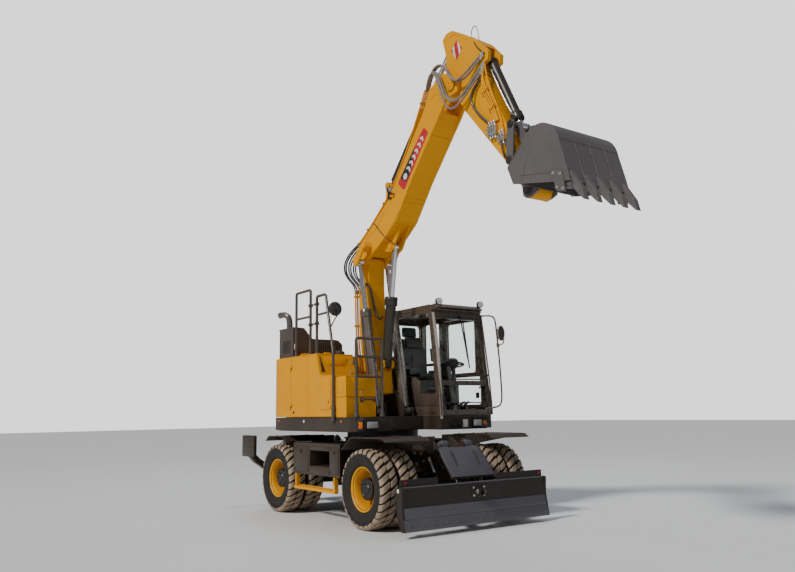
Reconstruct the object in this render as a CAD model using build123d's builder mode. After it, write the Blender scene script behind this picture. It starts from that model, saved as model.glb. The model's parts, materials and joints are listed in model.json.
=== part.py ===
from build123d import *
import os

os.makedirs("parts", exist_ok=True)

# Wheeled excavator with a two-piece boom, parked: boom raised, outriggers folded up, blade lifted.
# Millimetres; +X forward, +Y to the machine's left, Z = 0 is the ground.
# Every outline is measured from the swing axis, which stands at this x:
swing_x = -1180.0

# ---------------------------------------------------------------- clearances
fit = 0.3           # running gap at pins, bores and bearing faces
clear = 6.0         # gap between pieces that move past each other
seam = 8.0          # gap between body panels

# ---------------------------------------------------------------- wheels
front_axle_x = 1350.0
rear_axle_x = -1200.0
tyre_radius = 527.5
tyre_width = 278.0
outer_tyre_y = 1136.0
inner_tyre_y = 806.0
rim_radius = 255.0
flange_radius = 300.0
rim_width = 200.0
hub_radius = 150.0
hub_inner_y = 700.0
hub_outer_y = 1190.0
spindle_radius = 80.0
spindle_end_y = 960.0
kingpin_y = 600.0
kingpin_radius = 30.0
axle_z = tyre_radius

# ---------------------------------------------------------------- chassis and slew ring
chassis_top = 1040.0
chassis_half = 280.0
ring_radius = 560.0
pad_radius = 600.0
ring_bottom = 1100.0
deck_bottom = 1270.0
deck_top = 1330.0
skirt_bottom = 1280.0
skirt_top = 1478.0

# ---------------------------------------------------------------- upper structure
side_y = 1245.0
tail_radius = 2000.0
tail_corner = 850.0
front_x = 1180.0
channel_right = -600.0
channel_left = 250.0
body_top = 2430.0
body_bottom = skirt_top + seam
door_skin = 28.0
cab_wall = 60.0

# ---------------------------------------------------------------- boom linkage, pins as (x, z)
boom_y = -180.0
boom_foot = (190, 1950)
boom_fold = (60, 3930)
lift_foot = (520, 1550)
adjust_foot = (400, 2270)
adjust_eye = (680, 4090)
arm_pivot = (2400, 6060)
arm_cylinder_foot = (640, 5070)
arm_cylinder_eye = (2240, 6800)
bucket_pivot = (3780, 4200)
bucket_cylinder_foot = (3030, 6220)
link_joint = (3550, 5107)
idler_pivot = (3510, 4640)
bucket_link_pin = (3826.7, 4597.3)
boom_half = 150.0
fork_inner = boom_half + clear
fork_outer = 200.0
arm_half = 140.0
lift_y = 260.0
lobe_inner = 324.0
lobe_outer = 354.0
bucket_half = 510.0

# ---------------------------------------------------------------- blade and outriggers
blade_pivot = (1790, 470)
blade_cylinder_foot = (1800, 1090)
blade_cylinder_eye = (2120, 540)
blade_half = 1250.0
blade_arm_y = 330.0
blade_cylinder_y = 200.0
leg_x = -2300.0
leg_pin = (640, 470)
leg_cylinder_foot = (470, 1085)
leg_cylinder_eye = (880, 650)


# ================================================================ helpers
def side_plane(y):
    return Plane(origin=(swing_x, y, 0), x_dir=(1, 0, 0), z_dir=(0, -1, 0))


def flat_plane(z):
    return Plane(origin=(swing_x, 0, z))


def front_plane(x):
    return Plane(origin=(swing_x + x, 0, 0), x_dir=(0, 1, 0), z_dir=(1, 0, 0))


def outline_prism(plane, outline, thickness, corner, mode):
    with BuildSketch(plane) as face:
        with BuildLine():
            Polyline(*outline, close=True)
        make_face()
        if corner:
            fillet(face.vertices(), corner)
    extrude(face.sketch, amount=thickness, mode=mode)


def plate(outline, y_left, thickness, corner=0, mode=Mode.ADD):
    """Side outline of (x, z) points, from y_left towards the right."""
    outline_prism(side_plane(y_left), outline, thickness, corner, mode)


def cross_plate(outline, x_back, thickness, corner=0, mode=Mode.ADD):
    """Front outline of (y, z) points, from x_back towards the front."""
    outline_prism(front_plane(x_back), outline, thickness, corner, mode)


def block(x_lo, x_hi, y_lo, y_hi, z_lo, z_hi, mode=Mode.ADD):
    with Locations((swing_x + (x_lo + x_hi) / 2, (y_lo + y_hi) / 2, (z_lo + z_hi) / 2)):
        Box(x_hi - x_lo, y_hi - y_lo, z_hi - z_lo, mode=mode)


def round_bar(start, end, radius, mode=Mode.ADD):
    """Round bar between two (x, y, z) points."""
    base = Vector(*start) + Vector(swing_x, 0, 0)
    run = Vector(*end) - Vector(*start)
    with BuildSketch(Plane(origin=base, z_dir=run)) as section:
        Circle(radius)
    extrude(section.sketch, amount=run.length, mode=mode)


def pin_y(point, y_centre, radius, width, mode=Mode.ADD):
    """Round bar along Y through an (x, z) point, centred on y_centre."""
    x, z = point
    round_bar((x, y_centre - width / 2, z), (x, y_centre + width / 2, z), radius, mode)


def pin_x(x_centre, y, z, radius, width, mode=Mode.ADD):
    round_bar((x_centre - width / 2, y, z), (x_centre + width / 2, y, z), radius, mode)


def pin_z(x, y, z_lo, z_hi, radius, mode=Mode.ADD):
    round_bar((x, y, z_lo), (x, y, z_hi), radius, mode)


def at_y(point, y):
    return (point[0], y, point[1])


def along(start, end, distance):
    """Point at a distance from start on the way to end."""
    step = (Vector(*end) - Vector(*start)).normalized() * distance
    return tuple(Vector(*start) + step)


def barrel(foot, eye, radius, length, neck, rod_radius, bore_from):
    """Cylinder barrel from its foot pin towards its rod's eye, bored for the rod."""
    round_bar(foot, along(foot, eye, neck + 20), radius * 0.62)
    round_bar(along(foot, eye, neck), along(foot, eye, length), radius)
    round_bar(along(foot, eye, length - radius * 0.9), along(foot, eye, length), radius * 1.1)
    bore_to = along(foot, eye, length + 1)
    round_bar(along(foot, eye, bore_from), bore_to, rod_radius + fit, Mode.SUBTRACT)


def rod(foot, eye, radius, from_foot):
    round_bar(along(foot, eye, from_foot), eye, radius)


def tube(points, radius, bend):
    """Bent round tube through (x, y, z) corners."""
    with BuildLine() as route:
        FilletPolyline(*[(swing_x + x, y, z) for x, y, z in points], radius=bend)
    path = route.wire()
    with BuildSketch(Plane(origin=path @ 0, z_dir=path % 0)) as section:
        Circle(radius)
    sweep(sections=section.sketch, path=path)


hinge_pin = 7.0
hinge_height = 38.0


def hinge_lugs(axis_x, axis_y, wall_x, wall_y, heights):
    """Fixed halves of an upright hinge, each with its pin, on a wall behind the door."""
    out = 1 if axis_y > 0 else -1
    for z in heights:
        pin_z(axis_x, axis_y, z - hinge_height - 2, z + hinge_height, hinge_pin)
        for x_end, y_near in ((axis_x - 7, wall_y), (axis_x + 5, axis_y - out * 6)):
            y_lo, y_hi = sorted((y_near, axis_y + out * 9))
            block(wall_x, x_end, y_lo, y_hi, z - hinge_height - 2, z - 2)


def hinge_leaves(axis_x, axis_y, door_x, door_y, heights):
    """Moving halves of an upright hinge, on the outer face of a door."""
    out = 1 if axis_y > 0 else -1
    for z in heights:
        pin_z(axis_x, axis_y, z, z + hinge_height, hinge_pin + 5)
        y_lo, y_hi = sorted((axis_y, axis_y + out * 9))
        block(axis_x, door_x + 45, y_lo, y_hi, z, z + hinge_height)
        y_lo, y_hi = sorted((door_y - out * 3, axis_y + out * 9))
        block(door_x + 5, door_x + 45, y_lo, y_hi, z, z + hinge_height)
        pin_z(axis_x, axis_y, z - 1, z + hinge_height + 1, hinge_pin + fit, Mode.SUBTRACT)


def save(builder, label):
    builder.part.label = label
    export_step(builder.part, f"parts/{label}.step")


# ================================================================ undercarriage
spine_outline = [
    (-2420, 400), (-2420, chassis_top), (1735, chassis_top), (1705, 900), (1705, 400), (1620, 400),
    (1560, 740), (1140, 740), (1000, 480), (-850, 480), (-960, 730), (-1440, 730), (-1560, 400),
]
trunnion_radius = 60.0
leg_ear_gap = 75.0
with BuildPart() as chassis_frame:
    plate(spine_outline, chassis_half, 2 * chassis_half)
    block(-700, 800, -460, 460, 480, 1060)
    with Locations((swing_x, 0, 0)):
        with BuildSketch(flat_plane(chassis_top)) as ring_pad:
            Circle(pad_radius)
        extrude(ring_pad.sketch, amount=ring_bottom - chassis_top)
    # trunnion hangers of the front axle
    for x_lo, x_hi in ((1020, 1165), (1535, 1620)):
        block(x_lo, x_hi, -110, 110, 455, 760)
    pin_x(1320, 0, axle_z, trunnion_radius + fit, 620, Mode.SUBTRACT)
    # rear axle seats
    for side in (1, -1):
        block(rear_axle_x - 90, rear_axle_x + 90, side * 220 - 60, side * 220 + 60, axle_z + 110, 740)
    # rear cross member with the outrigger ears
    rear_member = [
        (-560, 400), (560, 400), (560, 740), (420, 1020), (400, chassis_top), (-400, chassis_top),
        (-420, 1020), (-560, 740),
    ]
    cross_plate(rear_member, -2440, 280)
    for side in (1, -1):
        for x_ear in (leg_x - leg_ear_gap - 25, leg_x + leg_ear_gap):
            ear = [
                (side * 500, 400), (side * 640, 395), (side * 715, 430), (side * 715, 520),
                (side * 600, 640), (side * 500, 640),
            ]
            cross_plate(ear, x_ear, 25)
            top_ear = [(side * 360, 900), (side * 530, 880), (side * 540, 1080), (side * 500, 1130), (side * 430, 1130)]
            cross_plate(top_ear, x_ear, 25)
        pin_x(leg_x, side * leg_pin[0], leg_pin[1], 30, 2 * leg_ear_gap + 70)
        foot_y, foot_z = leg_cylinder_foot
        pin_x(leg_x, side * foot_y, foot_z, 22, 2 * leg_ear_gap + 60)
    # blade hinges and the feet of the blade cylinders
    block(1620, 1705, -430, 430, 400, 640)
    for side in (1, -1):
        for y_ear in (blade_arm_y + 36, blade_arm_y - 66):
            y_left = y_ear + 30 if side > 0 else -y_ear
            hinge_ear = [(1690, 400), (1790, 385), (1870, 440), (1870, 510), (1790, 560), (1690, 640)]
            plate(hinge_ear, y_left, 30, corner=20)
        pin_y(blade_pivot, side * blade_arm_y, 32, 150)
        for y_ear in (blade_cylinder_y + 60, blade_cylinder_y - 80):
            y_left = y_ear + 20 if side > 0 else -y_ear
            foot_ear = [(1640, 1000), (1790, 1000), (1832, 1055), (1830, 1115), (1800, 1130), (1750, 1115)]
            plate(foot_ear, y_left, 20, corner=15)
        pin_y(blade_cylinder_foot, side * blade_cylinder_y, 22, 160)
save(chassis_frame, "chassis_frame")

with BuildPart() as slew_ring:
    with BuildSketch(flat_plane(ring_bottom)) as ring:
        Circle(ring_radius)
        Circle(ring_radius - 120, mode=Mode.SUBTRACT)
    extrude(ring.sketch, amount=deck_bottom - ring_bottom - fit)
    with BuildSketch(flat_plane(ring_bottom)) as ring_flange:
        Circle(ring_radius + 30)
        Circle(ring_radius - 120, mode=Mode.SUBTRACT)
    extrude(ring_flange.sketch, amount=50)
save(slew_ring, "slew_ring")

with BuildPart() as rear_axle:
    block(rear_axle_x - 90, rear_axle_x + 90, -600, 600, axle_z - 110, axle_z + 110)
    round_bar((rear_axle_x, -150, axle_z), (rear_axle_x, 150, axle_z), 190)
    round_bar((rear_axle_x, 0, axle_z), (rear_axle_x + 220, 0, axle_z), 70)
    for side in (1, -1):
        round_bar((rear_axle_x, side * 590, axle_z), (rear_axle_x, side * 680, axle_z), 165)
        round_bar((rear_axle_x, side * 670, axle_z), (rear_axle_x, side * spindle_end_y, axle_z), spindle_radius)
save(rear_axle, "rear_axle")

steer_rod_x = 1140.0
steer_rod_z = 400.0
steer_rod_radius = 22.0
yoke_low = 370.0
yoke_high = 685.0
yoke_plate = 40.0
with BuildPart() as front_axle:
    block(front_axle_x - 100, front_axle_x + 100, -490, 490, axle_z - 110, axle_z + 110)
    round_bar((front_axle_x, -150, axle_z), (front_axle_x, 150, axle_z), 170)
    round_bar((1040, 0, axle_z), (1610, 0, axle_z), trunnion_radius)
    for side in (1, -1):
        block(front_axle_x - 75, front_axle_x + 75, side * 465 - 25, side * 465 + 25, yoke_low, yoke_high)
        for z_lo in (yoke_low, yoke_high - yoke_plate):
            block(
                front_axle_x - 60, front_axle_x + 60, side * 520 - 80, side * 520 + 80, z_lo, z_lo + yoke_plate
            )
            pin_z(front_axle_x, side * kingpin_y, z_lo, z_lo + yoke_plate, 60)
        pin_z(front_axle_x, side * kingpin_y, yoke_low - 1, yoke_high + 1, kingpin_radius + fit, Mode.SUBTRACT)
        block(steer_rod_x, front_axle_x, side * 140 - 10, side * 140 + 10, 375, 425)
    round_bar((steer_rod_x, -200, steer_rod_z), (steer_rod_x, 200, steer_rod_z), 45)
    bore = steer_rod_radius + fit
    round_bar((steer_rod_x, -210, steer_rod_z), (steer_rod_x, 210, steer_rod_z), bore, Mode.SUBTRACT)
save(front_axle, "front_axle")

with BuildPart() as steering_rod:
    round_bar((steer_rod_x, -570, steer_rod_z), (steer_rod_x, 570, steer_rod_z), steer_rod_radius)
    for side in (1, -1):
        pin_z(steer_rod_x, side * kingpin_y, steer_rod_z - 25, steer_rod_z + 14, 34)
save(steering_rod, "steering_rod")

for label, side in (("knuckle_left", 1), ("knuckle_right", -1)):
    with BuildPart() as knuckle:
        low, high = yoke_low + yoke_plate + fit, yoke_high - yoke_plate - fit
        pin_z(front_axle_x, side * kingpin_y, low, high, 70)
        pin_z(front_axle_x, side * kingpin_y, yoke_low - 8, yoke_high + 8, kingpin_radius)
        round_bar(
            (front_axle_x, side * kingpin_y, axle_z), (front_axle_x, side * spindle_end_y, axle_z), spindle_radius
        )
        arm_width = 26
        block(
            steer_rod_x, front_axle_x, side * kingpin_y - arm_width, side * kingpin_y + arm_width, 424, 448
        )
        pin_z(steer_rod_x, side * kingpin_y, 424, 448, 32)
    save(knuckle, label)


def wheel_plane(axle_x):
    return Plane(origin=(swing_x + axle_x, 0, axle_z), x_dir=(0, 1, 0), z_dir=(1, 0, 0))


def turn(profile, axle_x, mode=Mode.ADD):
    """Revolve a closed outline of (y, radius) points about the axle."""
    with BuildSketch(wheel_plane(axle_x)) as face:
        with BuildLine():
            Polyline(*profile, close=True)
        make_face()
    axis = Axis((swing_x + axle_x, 0, axle_z), (0, 1, 0))
    revolve(face.sketch, axis=axis, mode=mode)


bead_half = 88.0
sidewall_half = tyre_width / 2
tyre_half_profile = [
    (bead_half, rim_radius + fit), (bead_half, flange_radius + 5), (sidewall_half, flange_radius + 85),
    (sidewall_half - 2, tyre_radius - 50), (sidewall_half - 27, tyre_radius),
]
disc_y = 971.0
wheels = (
    ("front_left", front_axle_x, 1), ("front_right", front_axle_x, -1),
    ("rear_left", rear_axle_x, 1), ("rear_right", rear_axle_x, -1),
)
for corner, axle_x, side in wheels:
    with BuildPart() as rims:
        barrel_in = inner_tyre_y - rim_width / 2
        barrel_out = outer_tyre_y + rim_width / 2
        edges = (
            (hub_inner_y, hub_outer_y, spindle_radius + fit, hub_radius),
            (disc_y - 20, disc_y + 20, hub_radius - 5, rim_radius - 5),
            (barrel_in, barrel_out, rim_radius - 14, rim_radius),
            (barrel_in, barrel_in + 11, rim_radius - 14, flange_radius),
            (barrel_out - 11, barrel_out, rim_radius - 14, flange_radius),
            (spindle_end_y + 4, hub_outer_y, 0, spindle_radius + 20),
        )
        for y_lo, y_hi, r_lo, r_hi in edges:
            ring_profile = [(side * y_lo, r_lo), (side * y_hi, r_lo), (side * y_hi, r_hi), (side * y_lo, r_hi)]
            turn(ring_profile, axle_x)
    save(rims, f"rims_{corner}")
    with BuildPart() as tyres:
        for tyre_y in (inner_tyre_y, outer_tyre_y):
            half = [(side * tyre_y + y, r) for y, r in tyre_half_profile]
            mirrored = [(side * tyre_y - y, r) for y, r in reversed(tyre_half_profile)]
            turn(half + mirrored, axle_x)
    save(tyres, f"tyres_{corner}")

box_inner_y = 460.0
box_outer_y = 1240.0
tyre_sweep = ((tyre_radius**2 + (outer_tyre_y + tyre_width / 2 - kingpin_y) ** 2) ** 0.5) + clear
with BuildPart() as side_boxes:
    for side in (1, -1):
        y_lo, y_hi = sorted((side * box_inner_y, side * box_outer_y))
        block(-640, 760, y_lo, y_hi, 640, 1100)
        y_lo, y_hi = sorted((side * 900, side * (box_outer_y + 1)))
        block(-120, 470, y_lo, y_hi, 765, 996, Mode.SUBTRACT)
        pin_z(front_axle_x, side * kingpin_y, 639, 1101, tyre_sweep, Mode.SUBTRACT)
    pin_z(0, 0, chassis_top - 1, 1101, pad_radius + clear, Mode.SUBTRACT)
save(side_boxes, "side_boxes")

with BuildPart() as step_bars:
    for side in (1, -1):
        y_lo, y_hi = sorted((side * 1170, side * 1230))
        block(-640, 600, y_lo, y_hi, 410, 450)
        for x_lo in (-600, 560):
            block(x_lo, x_lo + 40, y_lo, y_hi, 430, 640)
save(step_bars, "step_bars")

fender_outer_y = 1270.0
fender_inner_y = 560.0
fender_sheet = 8.0
fender_tables = (
    ([(-1580, 1110), (-1480, 1186), (-980, 1186), (-870, 1110)], (-1390, -1060)),
    ([(850, 1036), (1090, 1207), (1880, 1207), (1950, 1160)], (1150, 1700)),
)
with BuildPart() as fenders:
    for ridge, rib_places in fender_tables:
        lower = [(x, z - fender_sheet) for x, z in reversed(ridge)]
        top_z = max(z for x, z in ridge)
        for side in (1, -1):
            width = fender_outer_y - fender_inner_y
            plate(ridge + lower, max(side * fender_outer_y, side * fender_inner_y), width)
            for x_rib in rib_places:
                under = top_z - fender_sheet / 2
                rib = [
                    (chassis_half, 960), (chassis_half, under), (1200, under), (1200, under - 40),
                    (520, 1085), (400, 980),
                ]
                cross_plate([(side * y, z) for y, z in rib], x_rib, 12)
save(fenders, "fenders")

# ================================================================ blade
blade_front = [(2270, 610), (2270, 366), (2330, 80), (2304, 80), (2246, 362), (2246, 610)]
blade_beam = [(2250, 430), (2140, 410), (2140, 250), (2290, 230), (2262, 366)]
with BuildPart() as dozer_blade:
    plate(blade_front, blade_half, 2 * blade_half)
    plate(blade_beam, blade_half - 30, 2 * blade_half - 60)
    for side in (1, -1):
        end_plate = [(2158, 610), (2290, 610), (2276, 366), (2332, 78), (2250, 78), (2158, 300)]
        plate(end_plate, max(side * blade_half, side * (blade_half - 22)), 22)
        blade_arm = [
            (1728, 440), (1790, 400), (2150, 250), (2160, 410), (1860, 540), (1790, 545), (1728, 510),
        ]
        plate(blade_arm, side * blade_arm_y + 30, 60, corner=25)
        pin_y(blade_pivot, side * blade_arm_y, 32 + fit, 62, Mode.SUBTRACT)
        for y_ear in (blade_cylinder_y + 36, blade_cylinder_y - 56):
            y_left = y_ear + 20 if side > 0 else -y_ear
            lug = [(2255, 400), (2170, 405), (2085, 500), (2080, 560), (2120, 590), (2255, 600)]
            plate(lug, y_left, 20, corner=8)
    for y_lo, y_hi in ((-1250, -660), (360, 1200)):
        block(2226, 2246, y_lo, y_hi, 560, 700)
    tow_bracket = [(2262, 440), (2330, 440), (2350, 460), (2350, 520), (2330, 540), (2262, 540)]
    for y_left in (55, -30):
        plate(tow_bracket, y_left, 25)
    pin_y((2315, 490), 0, 20, 130, Mode.SUBTRACT)
save(dozer_blade, "dozer_blade")

blade_barrel_length = 420.0
guard_half = 370.0
with BuildPart() as blade_barrels:
    for side in (1, -1):
        y = side * blade_cylinder_y
        foot, eye = at_y(blade_cylinder_foot, y), at_y(blade_cylinder_eye, y)
        pin_y(blade_cylinder_foot, y, 40, 60)
        barrel(foot, eye, 48, blade_barrel_length, 45, 25, 60)
        pin_y(blade_cylinder_foot, y, 22 + fit, 62, Mode.SUBTRACT)
        rib = [(1880, 985), (1960, 1000), (2085, 830), (2010, 760)]
        plate(rib, y + 6, 12)
        round_bar(along(foot, eye, 60), along(foot, eye, 421), 25 + fit, Mode.SUBTRACT)
    guard = [(1850, 1060), (2180, 660), (2171, 652), (1841, 1053)]
    plate(guard, guard_half, 2 * guard_half)
save(blade_barrels, "blade_barrels")

with BuildPart() as blade_rods:
    for side in (1, -1):
        y = side * blade_cylinder_y
        foot, eye = at_y(blade_cylinder_foot, y), at_y(blade_cylinder_eye, y)
        rod(foot, eye, 25, 210)
        pin_y(blade_cylinder_eye, y, 38, 60)
save(blade_rods, "blade_rods")

# ================================================================ outriggers
leg_barrel_length = 500.0
for label, side in (("left", 1), ("right", -1)):
    foot = (leg_x, side * leg_cylinder_foot[0], leg_cylinder_foot[1])
    eye = (leg_x, side * leg_cylinder_eye[0], leg_cylinder_eye[1])
    with BuildPart() as leg:
        leg_side = [
            (590, 430), (640, 415), (700, 430), (1150, 720), (1245, 830), (1245, 1170),
            (1195, 1170), (1195, 900), (1050, 770), (650, 530), (590, 510),
        ]
        cross_plate([(side * y, z) for y, z in leg_side], leg_x - 60, 120)
        lug = [(800, 560), (960, 660), (920, 720), (850, 700), (780, 600)]
        for x_lug in (leg_x - 60, leg_x + 40):
            cross_plate([(side * y, z) for y, z in lug], x_lug, 20)
        y_lo, y_hi = sorted((side * 1215, side * 1262))
        block(leg_x - 240, leg_x + 240, y_lo, y_hi, 820, 1180)
        pin_x(leg_x, side * leg_pin[0], leg_pin[1], 30 + fit, 124, Mode.SUBTRACT)
        block(leg_x - 38, leg_x + 38, *sorted((side * 690, side * 1000)), 565, 800, Mode.SUBTRACT)
    save(leg, f"outrigger_leg_{label}")
    with BuildPart() as leg_barrel:
        pin_x(leg_x, foot[1], foot[2], 42, 110)
        barrel(foot, eye, 52, leg_barrel_length, 50, 28, 62)
        pin_x(leg_x, foot[1], foot[2], 22 + fit, 112, Mode.SUBTRACT)
    save(leg_barrel, f"outrigger_barrel_{label}")
    with BuildPart() as leg_rod:
        rod(foot, eye, 28, 80)
        pin_x(leg_x, eye[1], eye[2], 34, 60)
    save(leg_rod, f"outrigger_rod_{label}")


# ================================================================ upper structure
def house_face(z, inset=0.0):
    """Plan of the upper structure: square front with the boom channel, round tail."""
    tail_x = -((tail_radius**2 - side_y**2) ** 0.5)
    with BuildSketch(flat_plane(z)) as face:
        with BuildLine():
            Polyline(
                (tail_x, -side_y), (1050, -side_y), (front_x, -1110), (front_x, channel_right),
                (750, channel_right), (750, channel_left), (front_x, channel_left),
                (front_x, side_y), (tail_x, side_y),
            )
            ThreePointArc((tail_x, side_y), (-tail_radius, 0), (tail_x, -side_y))
        make_face()
        tail_vertices = face.vertices().sort_by(Axis.X)[:2]
        fillet(tail_vertices, tail_corner)
        if inset:
            offset(amount=-inset)
    return face.sketch


frame_web_outer = 179.0
outer_ear = 341.0
with BuildPart() as upper_frame:
    extrude(house_face(deck_bottom, 50), amount=deck_top - deck_bottom)
    web = [
        (-330, 1320), (60, 2000), (150, 2065), (260, 2045), (330, 1920), (600, 1650), (620, 1500), (560, 1320),
    ]
    ear = [(400, 1320), (450, 1580), (500, 1625), (560, 1620), (600, 1570), (610, 1320)]
    for side in (1, -1):
        inner, outer = boom_y + side * fork_inner, boom_y + side * frame_web_outer
        plate(web, max(inner, outer), frame_web_outer - fork_inner, corner=20)
        inner, outer = boom_y + side * outer_ear, boom_y + side * (outer_ear + 25)
        plate(ear, max(inner, outer), 25, corner=15)
        y_pin = boom_y + side * (fork_inner + outer_ear + 25) / 2
        pin_y(lift_foot, y_pin, 38, outer_ear + 25 - fork_inner)
    pin_y(boom_foot, boom_y, 45, 2 * frame_web_outer + 16)
save(upper_frame, "upper_frame")

with BuildPart() as lower_skirt:
    extrude(house_face(skirt_bottom), amount=skirt_top - skirt_bottom)
    extrude(house_face(skirt_bottom - 1, 50), amount=skirt_top - skirt_bottom + 2, mode=Mode.SUBTRACT)
    block(560, 1130, -1200, channel_right, 1440, skirt_top)
save(lower_skirt, "lower_skirt")

seam_right = -740.0
seam_left = -1150.0
bay_back_x = 440 - tail_radius
engine_bay = (bay_back_x, -1050, 150)
service_hinge_y = side_y + 14.0
service_hinges = (1650, 2250)
hood_hinge = (bay_back_x - 14, body_top + 16)
hood_hinges_y = (-850, -50)
hood_pin = 6.0
right_hinge_x = seam_right + 2
left_hinge_x = seam_left - 3
with BuildPart() as counterweight:
    extrude(house_face(body_bottom), amount=body_top - body_bottom)
    bay_x, bay_right, bay_left = engine_bay
    block(seam_right - 2, 1300, -1300, bay_left, body_bottom - 1, body_top + 1, Mode.SUBTRACT)
    block(bay_x, seam_right, bay_right, bay_left, body_bottom - 1, body_top + 1, Mode.SUBTRACT)
    block(seam_left - seam, 1300, bay_left - 1, 1300, body_bottom - 1, body_top + 1, Mode.SUBTRACT)
    block(bay_x - 190, bay_x - 40, -600, 600, deck_top, body_bottom)
    hinge_lugs(right_hinge_x, -service_hinge_y, right_hinge_x - 40, -side_y + 3, service_hinges)
    hinge_lugs(left_hinge_x, service_hinge_y, left_hinge_x - 40, side_y - 20, service_hinges)
    for y in hood_hinges_y:
        pin_y(hood_hinge, y + 20, hood_pin, 100)
        block(hood_hinge[0] - 12, hood_hinge[0] + 6, y + 34, y + 70, body_top - 5, hood_hinge[1] + 8)
save(counterweight, "counterweight")

lid_top = 2055.0
lid_hinge = (577, 2068)
lid_hinges_y = (-1130, -850)
right_body = [
    (seam_right + 6, body_bottom), (565, body_bottom), (565, 2080), (230, 2080), (190, 2114), (94, body_top),
    (seam_right + 6, body_top),
]
skin_inner = side_y - door_skin - 3
hood_front_x = -1060.0
with BuildPart() as body_panels:
    plate(right_body, channel_right - 10, skin_inner + channel_right - 10)
    block(-700, -20, -skin_inner - 1, channel_right - 50, 1520, 2390, Mode.SUBTRACT)
    block(-700, 500, -1100, channel_right - 50, deck_top, body_bottom)
    # centre deck behind the boom, over the engine bay
    block(hood_front_x + 6, -400, bay_right + 6, channel_left, 2395, body_top)
    block(-440, -400, channel_right - 20, channel_left, deck_top, body_top)
    # left rear housing with its door opening
    block(seam_left, -606, channel_left, skin_inner, body_bottom, body_top)
    block(seam_left - 1, -640, channel_left + 40, skin_inner + 1, 1520, 2390, Mode.SUBTRACT)
    block(-1100, -650, 400, 1100, deck_top, body_bottom)
    for y in lid_hinges_y:
        pin_y(lid_hinge, y + 20, 4.5, 100)
        block(560, lid_hinge[0] + 5, y + 34, y + 70, lid_hinge[1] - 7, lid_hinge[1] + 7)
save(body_panels, "body_panels")

with BuildPart() as service_door_right:
    plate(right_body, -(side_y - door_skin), door_skin)
    hinge_leaves(right_hinge_x, -service_hinge_y, seam_right + 6, -side_y, service_hinges)
save(service_door_right, "service_door_right")

with BuildPart() as service_door_left:
    block(seam_left, -612, side_y - door_skin, side_y, body_bottom, body_top)
    hinge_leaves(left_hinge_x, service_hinge_y, seam_left, side_y, service_hinges)
save(service_door_left, "service_door_left")

hood_back_x = bay_back_x
hood_sheet = 12.0
hood_outline = [
    (-1050, body_top), (-1050, 2950), (-850, 2950), (-700, 2770), (-200, 2770), (-112, 2700), (-112, 2500),
    (150, 2500), (150, body_top),
]
with BuildPart() as engine_hood:
    cross_plate(hood_outline, hood_back_x, hood_front_x - hood_back_x)
    with BuildSketch(front_plane(hood_back_x + hood_sheet)) as hollow:
        with BuildLine():
            Polyline(*hood_outline, close=True)
        make_face()
        offset(amount=-hood_sheet)
    extrude(hollow.sketch, amount=hood_front_x - hood_back_x - 2 * hood_sheet, mode=Mode.SUBTRACT)
    block(
        hood_back_x + hood_sheet, hood_front_x - hood_sheet, -1050 + hood_sheet, 150 - hood_sheet,
        body_top - 1, body_top + 40, Mode.SUBTRACT,
    )
    for y in hood_hinges_y:
        pin_y(hood_hinge, y, hood_pin + 6, 60)
        block(hood_hinge[0], hood_back_x + 2, y - 30, y + 30, hood_hinge[1] - 6, hood_hinge[1] + 12)
        pin_y(hood_hinge, y, hood_pin + fit, 62, Mode.SUBTRACT)
save(engine_hood, "engine_hood")

exhaust_x = -1400.0
exhaust_y = -900.0
with BuildPart() as exhaust:
    with BuildLine() as exhaust_path:
        FilletPolyline(
            (swing_x + exhaust_x, exhaust_y, 2950), (swing_x + exhaust_x, exhaust_y, 3142),
            (swing_x + exhaust_x - 170, exhaust_y, 3142), radius=110,
        )
    with BuildSketch(Plane(origin=(swing_x + exhaust_x, exhaust_y, 2950))):
        Circle(57.5)
        Circle(54, mode=Mode.SUBTRACT)
    sweep(path=exhaust_path.wire())
save(exhaust, "exhaust")

with BuildPart() as engine_block:
    block(-1460, -860, -960, 60, deck_top, 2230)
save(engine_block, "engine_block")

box_back_x = 566.0
box_front_x = 930.0
box_lid_z = 1760.0
box_sheet = 4.0
with BuildPart() as toolbox:
    block(box_back_x, box_front_x, -1235, -740, skirt_top, box_lid_z)
    block(
        box_back_x + box_sheet, box_front_x - box_sheet, -1235 + box_sheet, -740 - box_sheet,
        skirt_top + box_sheet, box_lid_z + 1, Mode.SUBTRACT,
    )
save(toolbox, "toolbox")

with BuildPart() as toolbox_lid:
    block(box_back_x + 9, box_front_x, -1235, -740, box_lid_z + 6, lid_top)
    block(
        box_back_x + 9 + box_sheet, box_front_x - box_sheet, -1235 + box_sheet, -740 - box_sheet,
        box_lid_z + 5, lid_top - box_sheet, Mode.SUBTRACT,
    )
    for y in lid_hinges_y:
        pin_y(lid_hinge, y, 9, 60)
        block(lid_hinge[0], lid_hinge[0] + 9, y - 30, y + 30, lid_top - 2, lid_hinge[1])
        pin_y(lid_hinge, y, 4.5 + fit, 62, Mode.SUBTRACT)
save(toolbox_lid, "toolbox_lid")

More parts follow.
